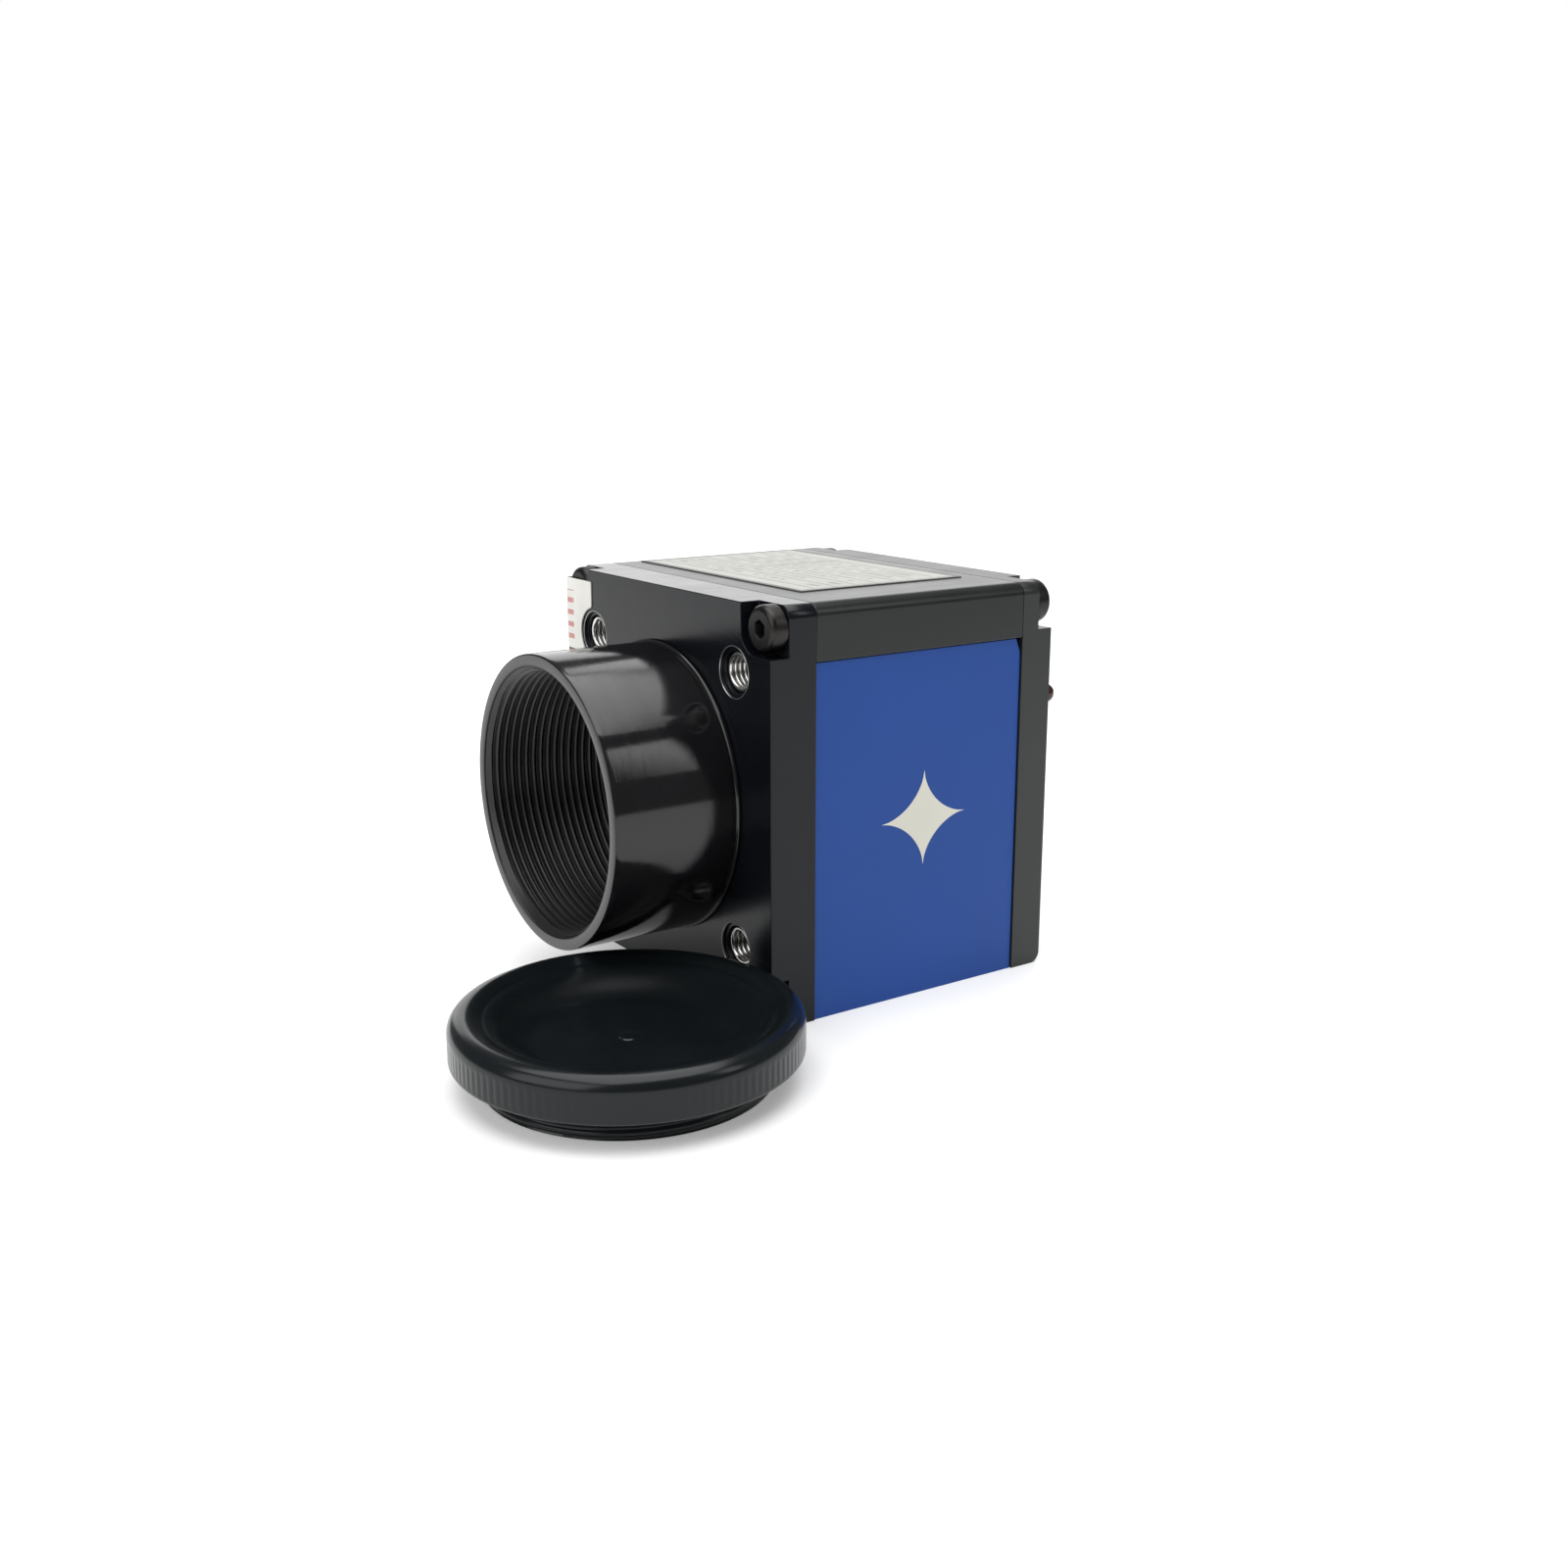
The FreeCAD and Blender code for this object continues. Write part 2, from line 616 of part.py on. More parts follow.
def header(s0, s1, z):
    """Plastic body of a board-to-board connector."""
    shape = block(-HEADER_W / 2, HEADER_W / 2, s0, s1, z - HEADER_H / 2, z + HEADER_H / 2)
    for row in (-1, 1):
        for index in range(PIN_COUNT):
            x = (index - (PIN_COUNT - 1) / 2) * PIN_PITCH
            pin_z = z + row * PIN_PITCH / 2
            side = PIN_SIDE / 2 + PIN_GAP
            shape = shape.cut(block(x - side, x + side, s0 - 1.0, s1 + 1.0, pin_z - side, pin_z + side))
    return shape


def header_pins(s0, s1, z):
    """Square pins of a board-to-board connector."""
    pins = []
    for row in (-1, 1):
        for index in range(PIN_COUNT):
            x = (index - (PIN_COUNT - 1) / 2) * PIN_PITCH
            pin_z = z + row * PIN_PITCH / 2
            side = PIN_SIDE / 2
            pins.append(block(x - side, x + side, s0, s1, pin_z - side, pin_z + side))
    return Part.makeCompound(pins)


def usb_shell():
    """Metal shell of the data socket, open at the back."""
    s0 = INTERFACE_BOARD_S + BOARD_T
    s1 = BODY_DEPTH - USB_RECESS
    half_w = USB_W / 2
    half_h = USB_H / 2
    shell = block(USB_X - half_w, USB_X + half_w, s0, s1, USB_Z - half_h, USB_Z + half_h)
    bore = block(USB_X - half_w + USB_WALL, USB_X + half_w - USB_WALL, s0 + USB_WALL, s1 + 1.0,
                 USB_Z - half_h + USB_WALL, USB_Z + half_h - USB_WALL)
    return shell.cut(bore)


def usb_tongue():
    """Plastic insert of the data socket with its central tongue."""
    s0 = INTERFACE_BOARD_S + BOARD_T + USB_WALL
    mouth_s = BODY_DEPTH - USB_RECESS - USB_MOUTH_DEPTH
    half_w = USB_W / 2 - USB_WALL
    half_h = USB_H / 2 - USB_WALL
    back = block(USB_X - half_w, USB_X + half_w, s0, mouth_s, USB_Z - half_h, USB_Z + half_h)
    tongue = block(USB_X - TONGUE_W / 2, USB_X + TONGUE_W / 2, mouth_s,
                   BODY_DEPTH - USB_RECESS - TONGUE_SHORT, USB_Z - TONGUE_H / 2, USB_Z + TONGUE_H / 2)
    return join([back, tongue])


def usb_contacts():
    """Five flat contacts on the upper side of the tongue."""
    mouth_s = BODY_DEPTH - USB_RECESS - USB_MOUTH_DEPTH
    z0 = USB_Z + TONGUE_H / 2
    strips = []
    for index in range(USB_CONTACTS):
        x = USB_X + (index - (USB_CONTACTS - 1) / 2) * USB_CONTACT_PITCH
        strips.append(block(x - USB_CONTACT_W / 2, x + USB_CONTACT_W / 2, mouth_s,
                            mouth_s + USB_CONTACT_LENGTH, z0, z0 + USB_CONTACT_T))
    return Part.makeCompound(strips)


def guide_port():
    """Plastic housing of the six-way guide port, open at the back."""
    s0 = INTERFACE_BOARD_S + BOARD_T
    s1 = BODY_DEPTH - USB_RECESS
    body = block(PORT_X - PORT_W / 2, PORT_X + PORT_W / 2, s0, s1, PORT_Z - PORT_H / 2, PORT_Z + PORT_H / 2)
    mouth_z0 = PORT_Z - PORT_H / 2 + PORT_MOUTH_DROP + PORT_LATCH_H
    mouth = block(PORT_X - PORT_MOUTH_W / 2, PORT_X + PORT_MOUTH_W / 2, s1 - PORT_MOUTH_DEPTH, s1 + 1.0,
                  mouth_z0, mouth_z0 + PORT_MOUTH_H)
    latch = block(PORT_X - PORT_LATCH_W / 2, PORT_X + PORT_LATCH_W / 2, s1 - PORT_MOUTH_DEPTH, s1 + 1.0,
                  mouth_z0 - PORT_LATCH_H, mouth_z0 + 0.5)
    return body.cut([mouth, latch])


def guide_port_contacts():
    """Six wire contacts along the roof of the guide port."""
    s1 = BODY_DEPTH - USB_RECESS
    roof = PORT_Z - PORT_H / 2 + PORT_MOUTH_DROP + PORT_LATCH_H + PORT_MOUTH_H
    wires = []
    for index in range(PORT_CONTACTS):
        x = PORT_X + (index - (PORT_CONTACTS - 1) / 2) * PORT_CONTACT_PITCH
        half = PORT_CONTACT_SIDE / 2
        wires.append(block(x - half, x + half, s1 - PORT_MOUTH_DEPTH, s1 - PORT_CONTACT_INSET,
                           roof - PORT_CONTACT_SIDE, roof))
    return Part.makeCompound(wires)


def status_led():
    """Small indicator light with a domed end."""
    base = BODY_DEPTH - LED_FLANGE_T
    dome_s = BODY_DEPTH + LED_OUT - LED_R
    flange = rod(LED_FLANGE_R, base - LED_FLANGE_T, base, LED_X, LED_Z)
    body = rod(LED_R, base, dome_s, LED_X, LED_Z)
    dome = Part.makeSphere(LED_R, Vector(LED_X, depth_to_y(dome_s), LED_Z))
    return join([flange, body, dome])


def status_led_leads():
    """Two leads from the light to the interface board."""
    s0 = INTERFACE_BOARD_S + BOARD_T
    s1 = BODY_DEPTH - 2 * LED_FLANGE_T
    leads = []
    half = LED_LEAD_SIDE / 2
    for side in (-1, 1):
        z = LED_Z + side * LED_LEAD_OFFSET
        leads.append(block(LED_X - half, LED_X + half, s0, s1, z - half, z + half))
    return Part.makeCompound(leads)


def bulged(start, end, bulge):
    """Arc in the XZ plane that stands off its chord by the bulge, to the left of its direction."""
    side = Vector(start.z - end.z, 0, end.x - start.x).normalize()
    return Part.Arc(start, (start + end) * 0.5 + side * bulge, end)


def cap_profile():
    """Half section of the cap as a face in the XZ plane, the axis along Z."""
    under = CAP_FLOOR_Z - CAP_FLOOR_T
    floor = Vector(CAP_FLOOR_R, 0, CAP_FLOOR_Z)
    wall = Vector(CAP_WALL_R, 0, CAP_WALL_Z)
    lip = Vector(CAP_INNER_R, 0, CAP_INNER_Z)
    crown = Vector(CAP_TOP_R, 0, CAP_H)
    shoulder = Vector(CAP_R, 0, CAP_SHOULDER_Z)
    outline = [
        (CAP_R, CAP_SHOULDER_Z),
        (CAP_R, CAP_UNDERSIDE + CAP_UNDER_EDGE),
        (CAP_R - CAP_UNDER_EDGE, CAP_UNDERSIDE),
        (CAP_SKIRT_R, CAP_UNDERSIDE),
        (CAP_SKIRT_R, 0),
        (CAP_SKIRT_BORE_R, 0),
        (CAP_SKIRT_BORE_R, under),
        (0, under),
        (0, CAP_FLOOR_Z),
        (CAP_FLOOR_R, CAP_FLOOR_Z),
    ]
    corners = [Vector(radius, 0, height) for radius, height in outline]
    edges = [
        bulged(floor, wall, -CAP_FLOOR_BULGE),
        bulged(wall, lip, CAP_WALL_BULGE),
        bulged(lip, crown, CAP_LIP_BULGE),
        bulged(crown, shoulder, CAP_SHOULDER_BULGE),
    ]
    edges += [Part.LineSegment(first, second) for first, second in zip(corners, corners[1:])]
    return Part.Face(Part.Wire([edge.toShape() for edge in edges]))


def dust_cap():
    """Dished cap with a threaded skirt and grip grooves round its rim."""
    shape = cap_profile().revolve(Vector(0, 0, 0), Vector(0, 0, 1), 360)
    grooves = []
    half = CAP_RIB_WIDTH / 2
    z0 = CAP_UNDERSIDE + CAP_UNDER_EDGE + CAP_RIB_MARGIN
    height = CAP_SHOULDER_Z - CAP_RIB_MARGIN - z0
    for index in range(CAP_RIBS):
        groove = Part.makeBox(1.0, 2 * half, height, Vector(CAP_R - CAP_RIB_DEPTH, -half, z0))
        groove.rotate(Vector(0, 0, 0), Vector(0, 0, 1), 360.0 * index / CAP_RIBS)
        grooves.append(groove)
    shape = shape.cut(grooves)
    shape.translate(Vector(CAP_X, CAP_Y, 0))
    return shape


SENSOR_BOARD_CHIPS = [
    (7.6, -10.6, 3.0, 3.0, 0.8),
    (-10.5, 10.6, 2.4, 1.8, 0.7),
    (-9.4, 0.0, 1.8, 3.0, 0.7),
]
MAIN_BOARD_CHIPS = [
    (0.0, 1.5, 10.5, 10.5, 1.0),
    (12.0, 0.5, 5.0, 7.0, 0.8),
    (-12.0, 0.5, 4.5, 4.5, 0.8),
    (-12.0, -11.0, 3.2, 2.0, 0.9),
]
INTERFACE_BOARD_CHIPS = [
    (0.0, 1.5, 5.5, 5.5, 0.7),
    (-11.5, 0.5, 4.0, 4.0, 2.0),
    (9.0, 2.0, 3.0, 2.4, 0.9),
    (9.0, -3.0, 3.0, 2.4, 0.9),
]

SENSOR_BACK = SENSOR_BOARD_S + BOARD_T
MAIN_BACK = MAIN_BOARD_S + BOARD_T

PARTS = {
    "front_plate": front_plate(),
    "thread_inserts": thread_inserts(),
    "front_screws": front_screws(),
    "lens_tube": lens_tube(),
    "window_retainer": window_retainer(),
    "window_glass": window_glass(),
    "window_o_ring": window_o_ring(),
    "top_cover": top_cover(),
    "top_label": top_label(),
    "blue_housing": blue_housing(),
    "back_plate": back_plate(),
    "rear_upper_screws": rear_upper_screws(),
    "rear_lower_screws": rear_lower_screws(),
    "inspection_sticker": inspection_sticker(),
    "image_sensor": image_sensor(),
    "sensor_die": sensor_die(),
    "sensor_cover_glass": sensor_cover_glass(),
    "sensor_leads": sensor_leads(),
    "sensor_board": board(SENSOR_BOARD_S),
    "sensor_board_chips": chips(SENSOR_BOARD_CHIPS, SENSOR_BOARD_S),
    "main_board": board(MAIN_BOARD_S),
    "main_board_chips": chips(MAIN_BOARD_CHIPS, MAIN_BOARD_S),
    "interface_board": board(INTERFACE_BOARD_S),
    "interface_board_chips": chips(INTERFACE_BOARD_CHIPS, INTERFACE_BOARD_S),
    "front_standoffs": standoffs(FRONT_PLATE, SENSOR_BOARD_S),
    "middle_standoffs": standoffs(SENSOR_BACK, MAIN_BOARD_S),
    "rear_standoffs": standoffs(MAIN_BACK, INTERFACE_BOARD_S),
    "board_screws": board_screws(),
    "lower_header": header(SENSOR_BACK, MAIN_BOARD_S, AXIS_Z - HEADER_Z),
    "lower_header_pins": header_pins(SENSOR_BACK, MAIN_BOARD_S, AXIS_Z - HEADER_Z),
    "upper_header": header(MAIN_BACK, INTERFACE_BOARD_S, AXIS_Z + HEADER_Z),
    "upper_header_pins": header_pins(MAIN_BACK, INTERFACE_BOARD_S, AXIS_Z + HEADER_Z),
    "usb_shell": usb_shell(),
    "usb_tongue": usb_tongue(),
    "usb_contacts": usb_contacts(),
    "guide_port": guide_port(),
    "guide_port_contacts": guide_port_contacts(),
    "status_led": status_led(),
    "status_led_leads": status_led_leads(),
    "dust_cap": dust_cap(),
}

os.makedirs("parts", exist_ok=True)
for name, shape in PARTS.items():
    shape.exportStep("parts/" + name + ".step")
    box = shape.optimalBoundingBox()
    print(name, "solids", len(shape.Solids), "valid", shape.isValid(),
          "volume", round(shape.Volume, 1), "size",
          round(box.XLength, 2), round(box.YLength, 2), round(box.ZLength, 2))
print("cap to tube", round(PARTS["dust_cap"].distToShape(PARTS["lens_tube"])[0], 2),
      "cap to front plate", round(PARTS["dust_cap"].distToShape(PARTS["front_plate"])[0], 2))
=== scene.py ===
import logging
import math
from dataclasses import dataclass, field
from enum import Enum

import bmesh
import bpy
import numpy as np
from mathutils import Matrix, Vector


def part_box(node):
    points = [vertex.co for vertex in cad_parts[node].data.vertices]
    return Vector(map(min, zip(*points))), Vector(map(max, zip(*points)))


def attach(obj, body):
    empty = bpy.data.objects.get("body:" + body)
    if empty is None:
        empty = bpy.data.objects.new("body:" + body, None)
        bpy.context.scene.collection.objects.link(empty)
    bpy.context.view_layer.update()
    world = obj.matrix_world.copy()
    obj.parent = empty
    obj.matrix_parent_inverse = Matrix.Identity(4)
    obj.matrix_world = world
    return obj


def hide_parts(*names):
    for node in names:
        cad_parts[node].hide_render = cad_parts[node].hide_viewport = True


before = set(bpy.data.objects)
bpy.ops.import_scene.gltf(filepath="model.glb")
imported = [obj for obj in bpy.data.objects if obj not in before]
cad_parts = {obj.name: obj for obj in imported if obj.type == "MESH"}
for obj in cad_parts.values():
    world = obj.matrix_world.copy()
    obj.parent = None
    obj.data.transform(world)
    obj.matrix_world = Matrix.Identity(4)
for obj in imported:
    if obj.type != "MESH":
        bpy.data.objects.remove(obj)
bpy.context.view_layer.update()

LOG = logging.getLogger("guide_camera")
MM = 0.001
AXIS_Z = 19.5
INSERT_PLACE = 13.0
TURN = 2 * math.pi
GRID_WELD = 1e-7
CAD_WELD = 2e-6
FLAT_ANGLE = 0.6
EDGE_ANGLE = 40.0
EDGE_SEGMENTS = 3
FULL_WEIGHT = 100

Array = np.ndarray
Colour = tuple[float, float, float]
Points = list[tuple[float, float]]


class Body(Enum):
    """The two rigid bodies that a piece can ride on."""

    CAMERA = "camera"
    CAP = "cap"


class Lay(Enum):
    """Direction in which the tool marks of a metal finish run."""

    NONE = (1.0, 1.0, 1.0)
    AROUND_TUBE = (0.06, 1.0, 0.06)
    ALONG_DEPTH = (1.0, 0.05, 1.0)
    ALONG_WIDTH = (0.05, 1.0, 1.0)


# Shader expressions


class Value:
    """A number coming out of a shader node, with arithmetic that adds Math nodes."""

    def __init__(self, graph: "Graph", socket: bpy.types.NodeSocket) -> None:
        """Wraps one output socket of a node in the graph."""
        self.graph = graph
        self.socket = socket

    def _math(self, operation: str, other: "Value | float", swapped: bool = False) -> "Value":
        """Adds one Math node.

        Args:
            operation: The node's operation.
            other: The second number, or the first if swapped.
            swapped: Whether this value is the second number.

        Returns:
            The node's result.
        """
        pair = (other, self) if swapped else (self, other)
        return self.graph.out("ShaderNodeMath", {"operation": operation}, dict(enumerate(pair)))

    def __add__(self, other: "Value | float") -> "Value":
        """This plus other."""
        return self._math("ADD", other)

    def __sub__(self, other: "Value | float") -> "Value":
        """This minus other."""
        return self._math("SUBTRACT", other)

    def __rsub__(self, other: float) -> "Value":
        """Other minus this."""
        return self._math("SUBTRACT", other, swapped=True)

    def __mul__(self, other: "Value | float") -> "Value":
        """This times other."""
        return self._math("MULTIPLY", other)

    def __truediv__(self, other: "Value | float") -> "Value":
        """This divided by other."""
        return self._math("DIVIDE", other)

    def __pow__(self, other: float) -> "Value":
        """This to the power of other."""
        return self._math("POWER", other)

    def __mod__(self, other: float) -> "Value":
        """Remainder of this over other, never negative."""
        return self._math("FLOORED_MODULO", other)

    def __gt__(self, other: "Value | float") -> "Value":
        """One where this is above other."""
        return self._math("GREATER_THAN", other)

    def __lt__(self, other: "Value | float") -> "Value":
        """One where this is below other."""
        return self._math("LESS_THAN", other)

    __radd__ = __add__
    __rmul__ = __mul__

    def size(self) -> "Value":
        """This without its sign."""
        return self.graph.out("ShaderNodeMath", {"operation": "ABSOLUTE"}, {0: self})

    def larger(self, other: "Value | float") -> "Value":
        """The larger of this and other."""
        return self._math("MAXIMUM", other)

    def within(self, low: float, high: float) -> "Value":
        """One where this is between low and high."""
        return (self > low) * (self < high)


class Graph:
    """The node tree of one material, with one method that adds any node."""

    def __init__(self, name: str) -> None:
        """Makes an empty material with its output node."""
        self.material = bpy.data.materials.new(name)
        self.material.use_nodes = True
        self.tree = self.material.node_tree
        self.tree.nodes.clear()
        self.end = self.add("ShaderNodeOutputMaterial", {}, {})

    def add(self, kind: str, settings: dict, inputs: dict) -> bpy.types.Node:
        """Adds one node.

        Args:
            kind: The node's type.
            settings: Properties set first; "stops" holds a colour ramp's positions and colours.
            inputs: Numbers, colours or Values by input name or index.

        Returns:
            The new node.
        """
        node = self.tree.nodes.new(kind)
        for key, setting in settings.items():
            if key != "stops":
                setattr(node, key, setting)
                continue
            ramp = node.color_ramp.elements
            for _ in setting[2:]:
                ramp.new(0.5)
            for stop, (place, colour) in zip(ramp, setting):
                stop.position, stop.color = place, (*colour, 1.0)
        for key, value in inputs.items():
            if isinstance(value, Value):
                self.tree.links.new(value.socket, node.inputs[key])
            else:
                node.inputs[key].default_value = value
        return node

    def out(self, kind: str, settings: dict, inputs: dict, output: "str | int" = 0) -> Value:
        """Adds one node and returns one of its outputs as a Value."""
        return Value(self, self.add(kind, settings, inputs).outputs[output])

    def place(self) -> Value:
        """Object coordinates in millimetres, as a vector."""
        point = self.out("ShaderNodeTexCoord", {}, {}, "Object")
        return self.out("ShaderNodeVectorMath", {"operation": "SCALE"}, {0: point, "Scale": 1 / MM})

    def axes(self) -> tuple[Value, Value, Value]:
        """Object coordinates in millimetres, as three numbers."""
        node = self.add("ShaderNodeSeparateXYZ", {}, {0: self.place()})
        return tuple(Value(self, socket) for socket in node.outputs)

    def noise(self, scale: float, detail: float = 2.0, lay: Lay = Lay.NONE) -> Value:
        """Cloudy noise from 0 to 1.

        Args:
            scale: Bumps per millimetre.
            detail: How many finer octaves are added.
            lay: Direction in which the noise is drawn out.

        Returns:
            The noise as a number.
        """
        vector = self.out("ShaderNodeVectorMath", {"operation": "MULTIPLY"}, {0: self.place(), 1: lay.value})
        return self.out("ShaderNodeTexNoise", {}, {"Vector": vector, "Scale": scale, "Detail": detail})

    def blend(self, share: "Value | float", first: "Value | Colour", second: "Value | Colour") -> Value:
        """Colour between first, where share is 0, and second, where it is 1."""
        colours = [c if isinstance(c, Value) else (*c, 1.0) for c in (first, second)]
        inputs = {0: share, 6: colours[0], 7: colours[1]}
        return self.out("ShaderNodeMix", {"data_type": "RGBA"}, inputs, 2)

    def bump(self, height: Value, depth: float) -> Value:
        """Normal of a surface whose height varies by depth millimetres."""
        return self.out("ShaderNodeBump", {}, {"Height": height, "Distance": depth * MM, "Strength": 1.0})

    def surface(self, fixed: dict, varying: dict) -> None:
        """Ends the tree with a Principled shader, its fixed sockets set and its varying ones linked."""
        settings = {k: (*v, 1.0) if isinstance(v, tuple) and len(v) == 3 else v for k, v in fixed.items()}
        shader = self.out("ShaderNodeBsdfPrincipled", {}, settings | varying)
        self.tree.links.new(shader.socket, self.end.inputs[0])


def lighter(colour: Colour, factor: float) -> Colour:
    """The colour with each channel times factor, held below white."""
    return tuple(min(channel * factor, 1.0) for channel in colour)


# Finishes


@dataclass(frozen=True)
class Finish:
    """A surface finish; each kind paints its own node tree."""

    name: str

    def paint(self, graph: Graph) -> None:
        """Fills the graph; every kind of finish has its own."""
        raise NotImplementedError

    def material(self) -> bpy.types.Material:
        """The finish's material, made on first use."""
        made = bpy.data.materials.get(self.name)
        if made is None:
            graph = Graph(self.name)
            self.paint(graph)
            made = graph.material
        return made


@dataclass(frozen=True)
class Anodised(Finish):
    """Blasted and dyed aluminium: a dark film with fine grain and faint handling haze."""

    colour: Colour = (0.012, 0.013, 0.014)
    gloss: float = 0.3
    film: float = 1.5
    grain: float = 0.004

    def paint(self, graph: Graph) -> None:
        """Fine grain bends the normal; wide haze changes colour and roughness a little."""
        fine = graph.noise(11.0)
        haze = graph.noise(0.16, 4.0)
        wipe = graph.noise(0.9, 3.0, Lay.ALONG_DEPTH)
        colour = graph.blend(haze, lighter(self.colour, 0.75), lighter(self.colour, 1.35))
        rough = self.gloss + (haze - 0.5) * 0.1 + (wipe - 0.5) * 0.08 + (fine - 0.5) * 0.05
        graph.surface({"IOR": self.film},
                      {"Base Color": colour, "Roughness": rough, "Normal": graph.bump(fine, self.grain)})


@dataclass(frozen=True)
class Turned(Finish):
    """Black film over fine lathe lines that run round the tube."""

    colour: Colour = (0.006, 0.006, 0.007)
    gloss: float = 0.1
    film: float = 1.5
    bore_radius: float = 13.0
    bore_gloss: float = 0.28

    def paint(self, graph: Graph) -> None:
        """Lines are noise along the tube only, in a fine and a coarser set; the bore is duller."""
        x, depth, z = graph.axes()
        bore = ((x * x + (z - AXIS_Z) ** 2.0) ** 0.5) < self.bore_radius
        lines = graph.out("ShaderNodeTexNoise", {"noise_dimensions": "1D"},
                          {"W": depth, "Scale": 16.0, "Detail": 3.0})
        bands = graph.out("ShaderNodeTexNoise", {"noise_dimensions": "1D"},
                          {"W": depth, "Scale": 1.4, "Detail": 2.0})
        haze = graph.noise(0.35, 4.0)
        colour = graph.blend(haze, lighter(self.colour, 0.8), lighter(self.colour, 1.6))
        wear = (lines - 0.5) * 0.12 + (bands - 0.5) * 0.1 + (haze - 0.5) * 0.08
        rough = self.gloss + bore * self.bore_gloss + wear
        height = lines * 0.7 + bands * 0.6
        graph.surface({"IOR": self.film, "Anisotropic": 0.4},
                      {"Base Color": colour, "Roughness": rough, "Normal": graph.bump(height, 0.0035)})


@dataclass(frozen=True)
class Paint(Finish):
    """Sprayed paint with a faint orange-peel skin under a thin clear coat."""

    colour: Colour = (0.0055, 0.059, 0.296)
    gloss: float = 0.45
    coat: float = 0.1

    def paint(self, graph: Graph) -> None:
        """Peel is two sizes of soft noise; wide haze shifts the blue slightly."""
        peel = graph.noise(2.2, 2.0) + graph.noise(6.0, 1.0) * 0.4
        haze = graph.noise(0.09, 3.0)
        colour = graph.blend(haze, lighter(self.colour, 0.9), lighter(self.colour, 1.1))
        fixed = {"IOR": 1.33, "Coat Weight": self.coat, "Coat Roughness": 0.2}
        graph.surface(fixed, {"Base Color": colour, "Roughness": self.gloss + (haze - 0.5) * 0.08,
                              "Normal": graph.bump(peel, 0.004)})


@dataclass(frozen=True)
class Moulded(Finish):
    """Moulded plastic or rubber with a spark-eroded texture."""

    colour: Colour = (0.02, 0.021, 0.023)
    gloss: float = 0.42
    texture: float = 0.006
    scale: float = 7.0
    film: float = 1.42

    def paint(self, graph: Graph) -> None:
        """Texture is fine noise; flow haze makes the gloss uneven."""
        grit = graph.noise(self.scale, 3.0)
        flow = graph.noise(0.2, 4.0)
        colour = graph.blend(flow, lighter(self.colour, 0.8), lighter(self.colour, 1.25))
        rough = self.gloss + (flow - 0.5) * 0.14 + (grit - 0.5) * 0.08
        graph.surface({"IOR": self.film}, {"Base Color": colour, "Roughness": rough,
                                           "Normal": graph.bump(grit, self.texture)})


@dataclass(frozen=True)
class Plated(Finish):
    """Bare or plated metal with drawn or turned marks."""

    colour: Colour = (0.62, 0.61, 0.58)
    gloss: float = 0.24
    tarnish: float = 0.35
    lay: Lay = Lay.NONE

    def paint(self, graph: Graph) -> None:
        """Marks are noise drawn out along the lay; tarnish dims the metal in soft patches."""
        marks = graph.noise(9.0, 2.0, self.lay)
        patches = graph.noise(0.8, 4.0)
        colour = graph.blend(patches * self.tarnish, self.colour, lighter(self.colour, 0.45))
        rough = self.gloss + (patches - 0.5) * 0.16 + (marks - 0.5) * 0.1
        graph.surface({"Metallic": 1.0}, {"Base Color": colour, "Roughness": rough,
                                          "Normal": graph.bump(marks, 0.003)})


@dataclass(frozen=True)
class Clear(Finish):
    """Clear coated glass."""

    colour: Colour = (0.93, 0.97, 1.0)
    index: float = 1.5
    gloss: float = 0.03

    def paint(self, graph: Graph) -> None:
        """Faint dust roughens the polish; the coating tints the colour from patch to patch."""
        dust = graph.noise(3.5, 4.0)
        film = graph.noise(0.07, 1.0)
        colour = graph.blend(film, self.colour, lighter(self.colour, 0.92))
        graph.surface({"IOR": self.index, "Transmission Weight": 1.0},
                      {"Base Color": colour, "Roughness": self.gloss + (dust ** 4.0) * 0.12})


@dataclass(frozen=True)
class Board(Finish):
    """Circuit board: green solder mask over raised tracks, with round gold pads."""

    def paint(self, graph: Graph) -> None:
        """Tracks are the cell borders of a Voronoi pattern with square distance; pads are its small cores."""
        options = {"distance": "CHEBYCHEV"}
        cells = graph.out("ShaderNodeTexVoronoi", options, {"Vector": graph.place(), "Scale": 0.8})
        dots = graph.out("ShaderNodeTexVoronoi", {}, {"Vector": graph.place(), "Scale": 0.55})
        tracks = cells.within(0.42, 0.52)
        pads = dots < 0.16
        mask = graph.blend(tracks, (0.01, 0.085, 0.035), (0.02, 0.16, 0.06))
        colour = graph.blend(pads, mask, (0.75, 0.52, 0.2))
        height = tracks * 0.6 + pads
        graph.surface({"IOR": 1.52, "Coat Weight": 0.4},
                      {"Base Color": colour, "Metallic": pads, "Roughness": 0.4 - pads * 0.15,
                       "Normal": graph.bump(height, 0.02)})


